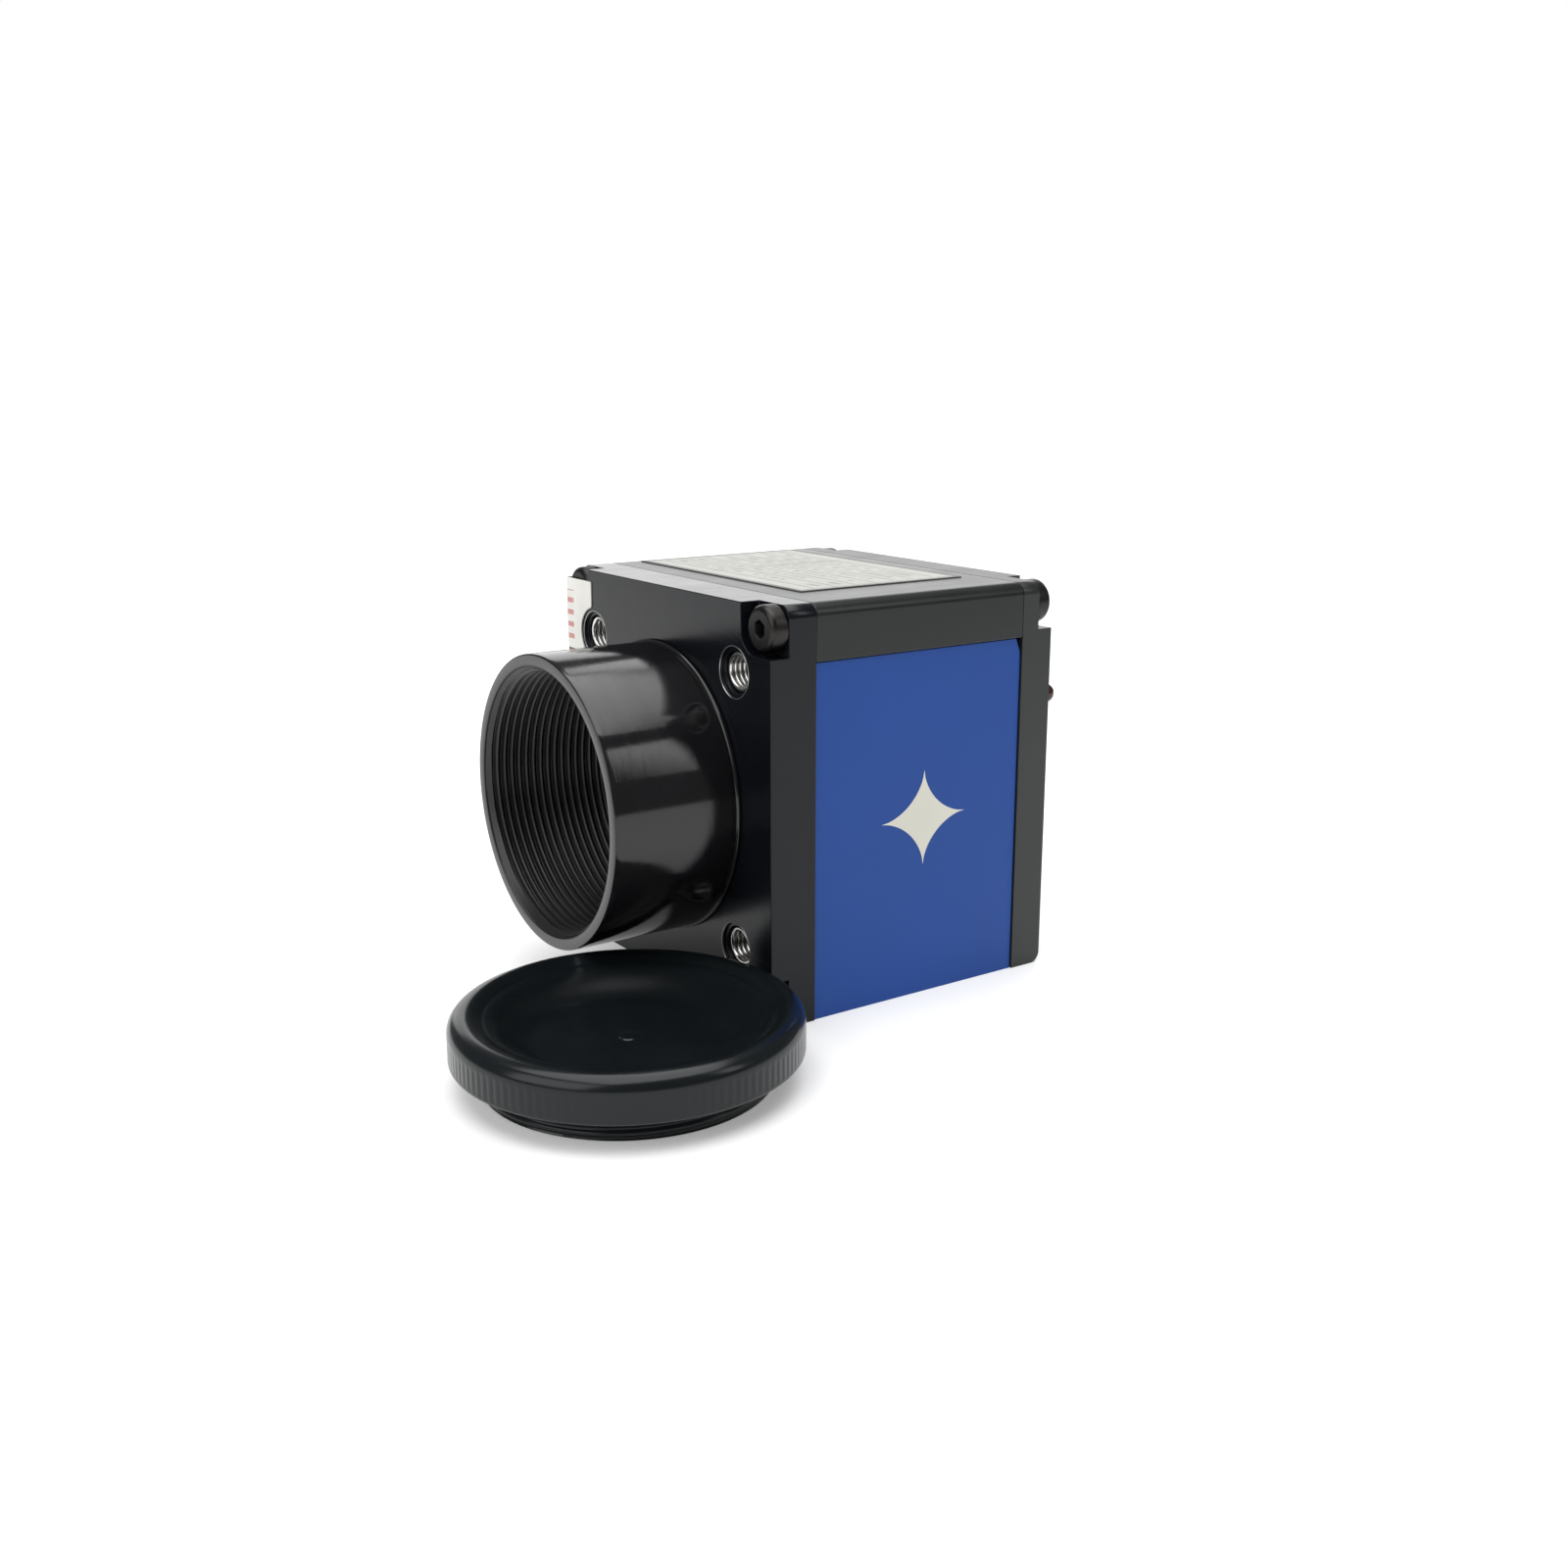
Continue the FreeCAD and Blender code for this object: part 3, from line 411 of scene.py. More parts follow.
@dataclass(frozen=True)
class Silicon(Finish):
    """Image-sensor die: a polished dark sensing field in a lighter frame, with a painted rainbow sheen on the
    field.
    """

    centre: tuple[float, float] = (0.0, AXIS_Z)
    field_half: tuple[float, float] = (2.1, 1.5)

    def paint(self, graph: Graph) -> None:
        """The field is a rectangle about the centre; its colour runs from green to violet across it, a
        painted diffraction sheen.
        """
        x, _, z = graph.axes()
        across = x - self.centre[0]
        up = z - self.centre[1]
        field_share = (across.size() < self.field_half[0]) * (up.size() < self.field_half[1])
        # Painted sheen: a diagonal green-to-violet ramp stands in for the rainbow that the die reflects.
        share = (across + up) * 0.12 + 0.5
        stops = [(0.0, (0.02, 0.1, 0.09)), (0.5, (0.05, 0.04, 0.14)), (1.0, (0.16, 0.05, 0.09))]
        painted_sheen = graph.out("ShaderNodeValToRGB", {"stops": stops}, {0: share})
        colour = graph.blend(field_share, (0.3, 0.28, 0.22), painted_sheen)
        lines = (up * 6.0) % 1.0
        graph.surface({"IOR": 2.0}, {"Base Color": colour, "Metallic": 0.85 - field_share * 0.15,
                                     "Roughness": 0.14 + lines * 0.06})


@dataclass(frozen=True)
class RatingPlate(Finish):
    """Satin silver label with a dark border and a blank ruled table."""

    low: tuple[float, float] = (-17.1, -8.6)
    high: tuple[float, float] = (12.2, 10.6)
    border: float = 0.55
    frame_line: tuple[float, float] = (0.85, 1.0)
    margin: float = 1.6
    row: float = 2.4
    column_shift: float = 3.0

    def paint(self, graph: Graph) -> None:
        """The border is where the distance to the nearest edge is small; rules repeat along the depth."""
        x, y, _ = graph.axes()
        middle = [(a + b) / 2 for a, b in zip(self.low, self.high)]
        half = [(b - a) / 2 for a, b in zip(self.low, self.high)]
        inside_x = half[0] - (x - middle[0]).size()
        inside_y = half[1] - (y - middle[1]).size()
        frame_line = inside_x.within(*self.frame_line) * (inside_y > self.frame_line[0])
        edge = 1.0 - (inside_x > self.border) * (inside_y > self.border) + frame_line
        rows = ((y - self.low[1]) / self.row) % 1.0
        rules = rows.within(0.93, 1.0) * (inside_x > 1.4) * (inside_y > self.margin)
        columns = (x - middle[0] + self.column_shift).size().within(0.0, 0.09) * (inside_y > self.margin)
        bars = rows.within(0.35, 0.62) * (inside_x > 2.0) * (inside_y > 2.2)
        broken = graph.noise(1.1, 0.0, Lay.ALONG_DEPTH) > 0.52
        ink = (edge + rules + columns).larger(bars * broken * 0.5)
        brushed = graph.noise(7.0, 2.0, Lay.ALONG_WIDTH)
        haze = graph.noise(0.2, 3.0)
        silver = graph.blend(haze, (0.34, 0.34, 0.31), (0.46, 0.46, 0.42))
        colour = graph.blend(ink * 0.85, silver, (0.05, 0.05, 0.05))
        graph.surface({"IOR": 1.5}, {"Base Color": colour, "Metallic": 0.55 - ink * 0.5,
                                     "Roughness": 0.4 + (brushed - 0.5) * 0.2 + ink * 0.1,
                                     "Normal": graph.bump(brushed, 0.002)})


@dataclass(frozen=True)
class SealPaper(Finish):
    """White seal paper with a broken red line of plain bars along its outer edge."""

    bar_x: float = -17.9
    bar_half: float = 0.65
    bar_heights: tuple[float, float] = (30.9, 36.6)
    bar_pitch: float = 1.25

    def paint(self, graph: Graph) -> None:
        """Bars are a band in x cut by a square wave in z; fibres are stretched noise."""
        x, _, z = graph.axes()
        wave = (z / self.bar_pitch) % 1.0
        column = ((x - self.bar_x).size() < self.bar_half) * z.within(*self.bar_heights)
        bars = column * wave.within(0.2, 0.62)
        fibre = graph.noise(9.0, 4.0, Lay.ALONG_WIDTH)
        stain = graph.noise(0.5, 4.0)
        paper = graph.blend(stain, (0.76, 0.75, 0.7), (0.88, 0.87, 0.83))
        colour = graph.blend(bars * (0.5 + fibre * 0.5), paper, (0.55, 0.13, 0.12))
        graph.surface({"IOR": 1.45}, {"Base Color": colour, "Roughness": 0.62 + (fibre - 0.5) * 0.2,
                                      "Normal": graph.bump(fibre, 0.006)})


@dataclass(frozen=True)
class FloorPaper(Finish):
    """White paper on a lit table, which fades into the backdrop far from the camera."""

    colour: Colour = (0.82, 0.82, 0.82)
    near: float = 350.0
    far: float = 900.0

    def paint(self, graph: Graph) -> None:
        """Alpha falls from one at the near radius to zero at the far one."""
        x, y, _ = graph.axes()
        radius = (x * x + y * y) ** 0.5
        alpha = ((self.far - radius) / (self.far - self.near)).larger(0.0)
        grain = graph.noise(2.0, 3.0)
        colour = graph.blend(grain, lighter(self.colour, 0.99), self.colour)
        fixed = {"Emission Strength": 0.25, "Emission Color": (1.0, 1.0, 1.0), "IOR": 1.2}
        graph.surface(fixed, {"Base Color": colour, "Alpha": alpha, "Roughness": 0.85 + grain * 0.1})


PLATE = Anodised("front plate film", gloss=0.2, film=1.33, colour=(0.004, 0.005, 0.007))
COVER = Anodised("cover film", gloss=0.3, film=1.42, colour=(0.009, 0.011, 0.011))
REAR = Anodised("back plate film", gloss=0.33, film=1.45, colour=(0.014, 0.016, 0.016))
RING = Anodised("matt ring film", gloss=0.5, film=1.4, colour=(0.008, 0.008, 0.009))
BARREL = Turned("turned barrel film")
BLUE = Paint("blue wall paint")
MARK = Paint("cream mark ink", colour=(0.72, 0.71, 0.62), gloss=0.5, coat=0.1)
WIRE = Plated("bright insert wire", colour=(0.74, 0.73, 0.71), gloss=0.2, lay=Lay.ALONG_DEPTH)
BARE_EDGE = Plated("bare countersink edge", colour=(0.5, 0.5, 0.5), gloss=0.3)
OXIDE = Plated("black oxide", colour=(0.045, 0.043, 0.042), gloss=0.36, tarnish=0.5)
ZINC = Plated("zinc plate", colour=(0.6, 0.6, 0.62), gloss=0.3)
TIN = Plated("bright tin", colour=(0.66, 0.66, 0.66), gloss=0.22, lay=Lay.ALONG_DEPTH)
GOLD = Plated("gold plate", colour=(0.85, 0.6, 0.24), gloss=0.18, tarnish=0.15)
BRASS = Plated("turned brass", colour=(0.75, 0.55, 0.25), gloss=0.28, lay=Lay.AROUND_TUBE)
RUBBER = Moulded("o-ring rubber", colour=(0.012, 0.012, 0.012), gloss=0.5)
CAP_PLASTIC = Moulded("cap plastic", colour=(0.005, 0.007, 0.008), gloss=0.22, texture=0.002, film=1.38)
PORT_PLASTIC = Moulded("port plastic", colour=(0.015, 0.015, 0.016), gloss=0.38)
TONGUE_PLASTIC = Moulded("tongue plastic", colour=(0.55, 0.55, 0.52), gloss=0.45)
CHIP_PLASTIC = Moulded("chip resin", colour=(0.016, 0.016, 0.017), gloss=0.52, texture=0.012)
CERAMIC = Moulded("sensor ceramic", colour=(0.05, 0.05, 0.055), gloss=0.5)
GLASS = Clear("window glass")
LED_EPOXY = Moulded("smoked lamp epoxy", colour=(0.04, 0.016, 0.014), gloss=0.16, texture=0.001)
BOARD = Board("board mask")
DIE = Silicon("sensor silicon")
FLOOR = FloorPaper("floor paper")
PLATE_LABEL = RatingPlate("rating label")
SEAL = SealPaper("seal paper")


# Surfaces and pieces


@dataclass
class Grid:
    """A surface given as rows and columns of points in millimetres.

    Faces join each point to its neighbours; a pole closes an end row with a fan to the row's mean.
    """

    points: Array
    round_rows: bool = False
    round_columns: bool = True
    pole_start: bool = False
    pole_end: bool = False

    def cells(self, first: int) -> tuple[Array, list[list[int]]]:
        """Vertices and faces.

        Args:
            first: Index of the grid's first vertex in the whole mesh.

        Returns:
            The vertices as rows of three, and the faces as index lists.
        """
        rows, columns = self.points.shape[:2]
        index = np.arange(rows * columns).reshape(rows, columns) + first
        low = index if self.round_rows else index[:-1]
        high = np.roll(index, -1, axis=0) if self.round_rows else index[1:]
        keep = slice(None) if self.round_columns else slice(None, -1)
        corners = [low[:, keep], np.roll(low, -1, axis=1)[:, keep],
                   np.roll(high, -1, axis=1)[:, keep], high[:, keep]]
        faces = np.stack(corners, axis=-1).reshape(-1, 4).tolist()
        vertices = [self.points.reshape(-1, 3)]
        middle = first + rows * columns
        for wanted, row, turn in ((self.pole_start, 0, 1), (self.pole_end, rows - 1, -1)):
            if wanted:
                ring = index[row]
                fan = [np.full(columns, middle), np.roll(ring, -turn), ring]
                faces += np.stack(fan, axis=-1)[:, ::turn].tolist()
                vertices.append(self.points[row].mean(axis=0, keepdims=True))
                middle += 1
        return np.concatenate(vertices), faces


def finish_piece(piece: bpy.types.Object, finish: Finish, body: Body,
                 nodes: tuple[str, ...]) -> None:
    """Gives a piece its material, body and the nodes it stands for.

    Args:
        piece: The piece, in place.
        finish: Its finish.
        body: The body it rides on.
        nodes: CAD nodes that it replaces, if any.
    """
    piece.data.materials.clear()
    piece.data.materials.append(finish.material())
    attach(piece, body.value)
    if nodes:
        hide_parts(*nodes)
    LOG.info("%s: %d faces in %s", piece.name, len(piece.data.polygons), finish.name)


def build_piece(name: str, grids: list[Grid], finish: Finish, nodes: tuple[str, ...] = (),
                body: Body = Body.CAMERA, sharp: float = 38.0) -> bpy.types.Object:
    """Makes one piece from closed grids.

    Args:
        name: The piece's name.
        grids: Its surfaces, in millimetres.
        finish: Its finish.
        nodes: CAD nodes that it replaces.
        body: The body it rides on.
        sharp: Angle in degrees above which an edge stays sharp.

    Returns:
        The new object.
    """
    vertices: list[Array] = []
    faces: list[list[int]] = []
    count = 0
    for grid in grids:
        points, cells = grid.cells(count)
        vertices.append(points)
        faces += cells
        count += len(points)
    mesh = bpy.data.meshes.new(name)
    mesh.from_pydata((np.concatenate(vertices) * MM).tolist(), [], faces)
    shape = bmesh.new()
    shape.from_mesh(mesh)
    bmesh.ops.remove_doubles(shape, verts=shape.verts, dist=GRID_WELD)
    bmesh.ops.recalc_face_normals(shape, faces=shape.faces)
    shape.to_mesh(mesh)
    shape.free()
    mesh.shade_smooth()
    mesh.set_sharp_from_angle(angle=math.radians(sharp))
    piece = bpy.data.objects.new(name, mesh)
    bpy.context.scene.collection.objects.link(piece)
    finish_piece(piece, finish, body, nodes)
    return piece


def softened_copy(name: str, node: str, width: float, finish: Finish) -> bpy.types.Object:
    """Copies a CAD node, merges its loose triangles and rounds its edges.

    Args:
        name: The piece's name.
        node: The CAD node that it replaces.
        width: Width of the rounded edge in millimetres.
        finish: Its finish.

    Returns:
        The new object.
    """
    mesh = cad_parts[node].data.copy()
    mesh.name = name
    shape = bmesh.new()
    shape.from_mesh(mesh)
    bmesh.ops.remove_doubles(shape, verts=shape.verts, dist=CAD_WELD)
    flat_limit = math.radians(FLAT_ANGLE)
    bmesh.ops.dissolve_limit(shape, angle_limit=flat_limit, verts=shape.verts, edges=shape.edges)
    shape.to_mesh(mesh)
    shape.free()
    mesh.shade_smooth()
    piece = bpy.data.objects.new(name, mesh)
    bpy.context.scene.collection.objects.link(piece)
    edges = piece.modifiers.new("rounded edges", "BEVEL")
    edges.width = width * MM
    edges.segments = EDGE_SEGMENTS
    edges.limit_method = "ANGLE"
    edges.angle_limit = math.radians(EDGE_ANGLE)
    flat = piece.modifiers.new("flat faces", "WEIGHTED_NORMAL")
    flat.mode = "FACE_AREA"
    flat.weight = FULL_WEIGHT
    finish_piece(piece, finish, Body.CAMERA, (node,))
    return piece


def dress(finish: Finish, *nodes: str) -> None:
    """Gives CAD nodes, whose shapes stay as they are, the finish through their own material slots."""
    for node in nodes:
        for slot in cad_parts[node].material_slots:
            slot.link = "OBJECT"
            slot.material = finish.material()
        LOG.info("%s: %s", node, finish.name)


def steps(corners: Points, counts: list[int]) -> Array:
    """Polyline through the corners with counts[i] equal steps on side i, as rows of two."""
    sides = [np.linspace(a, b, n, endpoint=False) for a, b, n in zip(corners, corners[1:], counts)]
    return np.concatenate(sides + [np.array(corners[-1:])])


def arc(centre: tuple[float, float], radius: float, start: float, end: float, count: int) -> Array:
    """Points on a circle from one angle to another, in degrees."""
    angle = np.radians(np.linspace(start, end, count))
    return np.stack([centre[0] + radius * np.cos(angle), centre[1] + radius * np.sin(angle)], axis=-1)


def angles(count: int) -> Array:
    """One turn in count equal steps."""
    return np.linspace(0.0, TURN, count, endpoint=False)


def thread_wave(turns: Array) -> Array:
    """Height of a rounded thread from 0 at its root to 1 at its crest: a raised cosine of the turns.

    Args:
        turns: How many pitches along the screw each point lies.

    Returns:
        Half of one plus the cosine of each turn's angle.
    """
    return 0.5 + 0.5 * np.cos(TURN * turns)


def box_mm(node: str) -> tuple[Array, Array]:
    """Low and high corners of a CAD node in millimetres."""
    low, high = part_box(node)
    return np.array(low) / MM, np.array(high) / MM


def along_depth(radius: Array, angle: Array, depth: Array, x: float, z: float) -> Array:
    """Points round an axis along the camera's depth.

    Args:
        radius: Distance from the axis, rows by columns.
        angle: Angle of each column.
        depth: Position along Y, rows by columns.
        x: Axis position across.
        z: Axis height.

    Returns:
        Rows by columns by three: x plus radius times cosine, depth, z plus radius times sine.
    """
    return np.stack([x + radius * np.cos(angle), depth + 0.0 * radius, z + radius * np.sin(angle)], axis=-1)


# Sub-assemblies


@dataclass
class Shell:
    """Front plate, top cover, blue wall and back plate, and the printed mark on each blue side."""

    edge: float = 0.16
    cover_edge: float = 0.14
    wall_edge: float = 0.22
    mark_centre: tuple[float, float] = (1.1, 17.6)
    mark_half: tuple[float, float] = (5.0, 4.6)
    mark_power: float = 0.62
    mark_lift: float = 0.03

    def build(self) -> None:
        """Builds the four shell pieces and the marks."""
        softened_copy("front_plate_body", "front_plate", self.edge, PLATE)
        softened_copy("top_cover_body", "top_cover", self.cover_edge, COVER)
        softened_copy("back_plate_body", "back_plate", self.edge, REAR)
        softened_copy("blue_wall", "blue_housing", self.wall_edge, BLUE)
        low, high = box_mm("blue_housing")
        for name, side, face in (("side_mark_left", 1, high[0]), ("side_mark_right", -1, low[0])):
            build_piece(name, [self.star(side, face)], MARK)

    def star(self, side: int, face: float) -> Grid:
        """Four-point star on one wall.

        The outline at angle a is where |cos a|^p + |sin a|^p times radius^p is one, scaled to the half
        sizes; rows go from the wall, over a rounded edge, to the middle of the printed face.

        Args:
            side: 1 for the +X wall, -1 for the other.
            face: The wall's x.

        Returns:
            The closed grid.
        """
        angle = angles(240)
        power = self.mark_power
        reach = (np.abs(np.cos(angle)) ** power + np.abs(np.sin(angle)) ** power) ** (-1.0 / power)
        shrink = np.array([1.0, 1.0, 0.97, 0.66, 0.33])[:, None]
        lift = np.array([-0.2, 0.7, 1.0, 1.0, 1.0])[:, None] * self.mark_lift
        across = self.mark_centre[0] + self.mark_half[0] * shrink * reach * np.cos(angle)
        up = self.mark_centre[1] + self.mark_half[1] * shrink * reach * np.sin(angle)
        points = np.stack([face + side * lift + 0.0 * across, across, up], axis=-1)
        return Grid(points, pole_start=True, pole_end=True)


@dataclass
class LensTube:
    """Turned tube with a rounded base ring, a broken rim and its female thread."""

    radius: float = 14.0
    bore: float = 12.27
    mouth: float = 12.85
    mouth_depth: float = 0.6
    pitch: float = 25.4 / 32
    thread_depth: float = 0.43
    ring: float = 14.2
    ring_width: float = 0.5
    rim_edge: float = 0.16
    spigot: float = 13.2
    columns: int = 150
    rows_per_pitch: int = 20

    def build(self) -> None:
        """Builds the tube."""
        low, high = box_mm("lens_tube")
        face = box_mm("front_plate")[0][1]
        build_piece("lens_tube_body", [self.surface(low[1], face, high[1])], BARREL,
                    ("lens_tube",), sharp=50.0)

    def surface(self, front: float, face: float, back: float) -> Grid:
        """Closed profile of radius against depth, turned about the tube's axis.

        In the bore the radius is the thread's helix or the mouth's cone, whichever is larger; the helix is
        the bore plus the thread depth times a wave of depth over pitch plus angle over a turn.

        Args:
            front: The rim's y.
            face: The front plate's y.
            back: The inner end's y.

        Returns:
            The grid, round in both directions.
        """
        step = self.rim_edge
        ring_r = self.ring_width / 2
        outside = np.concatenate([
            steps([(self.spigot, back), (self.spigot, face), (self.radius, face)], [3, 2]),
            arc((self.ring - ring_r, face - ring_r), ring_r, 90, -90, 10),
            steps([(self.radius, face - self.ring_width - 0.05), (self.radius, front + step)], [30]),
            arc((self.radius - step, front + step), step, 0, -90, 6),
            arc((self.mouth + step / 2, front + step / 2), step / 2, -90, -180, 4)])
        count = int((back - front - self.mouth_depth) / self.pitch) * self.rows_per_pitch
        inside = steps([(self.bore, front + step), (self.bore, back)], [count])
        profile = np.concatenate([outside, inside])
        angle = angles(self.columns)
        radius = profile[:, :1] + 0.0 * angle
        depth = profile[:, 1:] + 0.0 * angle
        bore = np.arange(len(profile)) >= len(outside)
        wave = 1.0 - thread_wave(depth / self.pitch - angle / TURN)
        fade = np.clip((back - 1.6 - depth) / 0.5, 0.0, 1.0)
        helix = self.bore + self.thread_depth * wave * fade
        cone = self.mouth - (depth - front - step) * (self.mouth - self.bore) / self.mouth_depth
        radius = np.where(bore[:, None], np.maximum(helix, cone), radius)
        return Grid(along_depth(radius, angle, depth, 0.0, AXIS_Z), round_rows=True)


@dataclass
class Inserts:
    """Wire thread inserts and the bare edges of their countersinks."""

    outer: float = 1.92
    wire: float = 0.25
    pitch: float = 0.5
    start: float = 0.3
    length: float = 3.6
    sink: float = 2.4
    sides: int = 8
    steps_per_turn: int = 44

    def build(self) -> None:
        """Builds the four coils as one piece and the four edges as another."""
        face = box_mm("front_plate")[0][1]
        sides = (-INSERT_PLACE, INSERT_PLACE)
        centres = [(x, AXIS_Z + z) for x in sides for z in sides]
        build_piece("insert_coils", [self.coil(face, x, z) for x, z in centres], WIRE,
                    ("thread_inserts",), sharp=60.0)
        build_piece("insert_edges", [self.rim(face, x, z) for x, z in centres], BARE_EDGE)

    def coil(self, face: float, x: float, z: float) -> Grid:
        """Diamond-section wire on a helix, thinned to a point at both ends.

        Args:
            face: The front plate's y.
            x: Axis position across.
            z: Axis height.

        Returns:
            The closed grid: rows along the helix, columns round the wire.
        """
        turns = (self.length - self.wire) / self.pitch
        along = np.linspace(0.0, turns, int(turns * self.steps_per_turn))[:, None]
        section = angles(self.sides)
        taper = np.clip(np.minimum(along, turns - along) / 0.12, 0.15, 1.0)
        size = self.wire * taper
        radius = self.outer - self.wire + size * np.cos(section)
        depth = face + self.start + self.wire + along * self.pitch + size * np.sin(section)
        points = along_depth(radius, along * TURN + 0.0 * section, depth, x, z)
        return Grid(points, pole_start=True, pole_end=True)

    def rim(self, face: float, x: float, z: float) -> Grid:
        """Thin ring of round section where the countersink meets the plate's face."""
        section = angles(8)[:, None]
        turn = angles(72)
        radius = self.sink + 0.06 * np.cos(section) + 0.0 * turn
        depth = face + 0.03 + 0.05 * np.sin(section) + 0.0 * turn
        return Grid(along_depth(radius, turn, depth, x, z), round_rows=True)


@dataclass
class Screw:
    """A socket screw: hex recess, rounded or countersunk head and threaded shank."""

    head: float
    height: float
    rounding: float
    hexagon: float
    recess: float
    shank: float
    length: float
    pitch: float
    countersunk: bool = False
    columns: int = 48
    rows_per_pitch: int = 6
    plain: float = 0.4
    edge: float = 0.06
    thread_share: float = 0.3

    def surface(self, x: float, z: float, top: float, outward: int) -> Grid:
        """One polar grid from the middle of the recess to the shank's tip.

        The recess follows a hexagon, whose radius is half its width over the cosine of the angle to the
        nearest flat; every other row is a circle, and the shank's radius falls and rises with its thread.

        Args:
            x: Axis position across.
            z: Axis height.
            top: The y of the head's face.
            outward: -1 if the head faces -Y, 1 if it faces +Y.

        Returns:
            The closed grid.
        """
        angle = angles(self.columns)
        flat = (angle + TURN / 12) % (TURN / 6) - TURN / 12
        hexagon = self.hexagon / 2 / np.cos(flat)
        share = np.array([0.3, 0.7, 0.94, 1.0, 1.0, 1.06])[:, None]
        fall = np.array([1.0, 1.0, 1.0, 0.94, 0.08, 0.0])[:, None] * self.recess
        recess_r = hexagon * share
        recess_s = fall + 0.0 * angle
        if self.countersunk:
            side = steps([(self.head * 0.98, 0.0), (self.head, self.edge), (self.head, 2 * self.edge),
                          (self.shank, self.height)], [2, 2, 4])
        else:
            crown = arc((self.head - self.rounding, self.rounding), self.rounding, -90, 0, 9)
            foot = steps([(self.head, self.height - self.edge), (self.head - self.edge, self.height),
                          (self.shank, self.height)], [2, 3])
            side = np.concatenate([crown, foot])
        shoulder = np.array([[(self.hexagon * 0.62 + self.head - self.rounding) / 2, 0.0]])
        count = int((self.length - 2 * self.plain) / self.pitch) * self.rows_per_pitch
        end = self.height + self.length
        shaft = steps([(self.shank, self.height + self.plain), (self.shank, end - self.plain)], [count])
        tip = np.array([[self.shank * 0.7, end]])
        profile = np.concatenate([shoulder, side, shaft, tip])
        radius = profile[:, :1] + 0.0 * angle
        depth = profile[:, 1:] + 0.0 * angle
        threaded = slice(1 + len(side), len(profile) - 1)
        wave = thread_wave(depth[threaded] / self.pitch - angle / TURN)
        radius[threaded] -= self.thread_share * self.pitch * (1.0 - wave)
        radius = np.concatenate([recess_r, radius])
        depth = np.concatenate([recess_s, depth])
        return Grid(along_depth(radius, angle, top - outward * depth, x, z), pole_start=True, pole_end=True)


@dataclass
class Screws:
    """Four front screws, two upper and two lower back screws."""

    round_head: Screw = field(default_factory=lambda: Screw(
        head=2.13, height=1.7, rounding=0.55, hexagon=1.5, recess=1.1, shank=1.2, length=8.0, pitch=0.45))
    flat_head: Screw = field(default_factory=lambda: Screw(
        head=1.75, height=0.85, rounding=0.1, hexagon=1.25, recess=0.6, shank=0.95, length=6.0, pitch=0.4,
        countersunk=True))

    def build(self) -> None:
        """Builds each set as one piece, at the middle of each CAD head."""
        for name, node, slot, screw, outward in (
                ("front_corner_screws", "front_screws", "black_oxide", self.round_head, -1),
                ("rear_corner_screws", "rear_upper_screws", "black_oxide_rear", self.round_head, 1),
                ("rear_flat_screws", "rear_lower_screws", "black_oxide_flat", self.flat_head, 1)):
            low, high = box_mm(node)
            top = low[1] if outward < 0 else high[1]
            heights = {low[2] + screw.head, high[2] - screw.head}
            places = [(x, z) for x in (low[0] + screw.head, high[0] - screw.head) for z in sorted(heights)]
            if high[2] - low[2] < 3 * screw.head:
                places = places[::2]
            heads = [screw.surface(x, z, top, outward) for x, z in places]
            build_piece(name, heads, OXIDE, (node,))


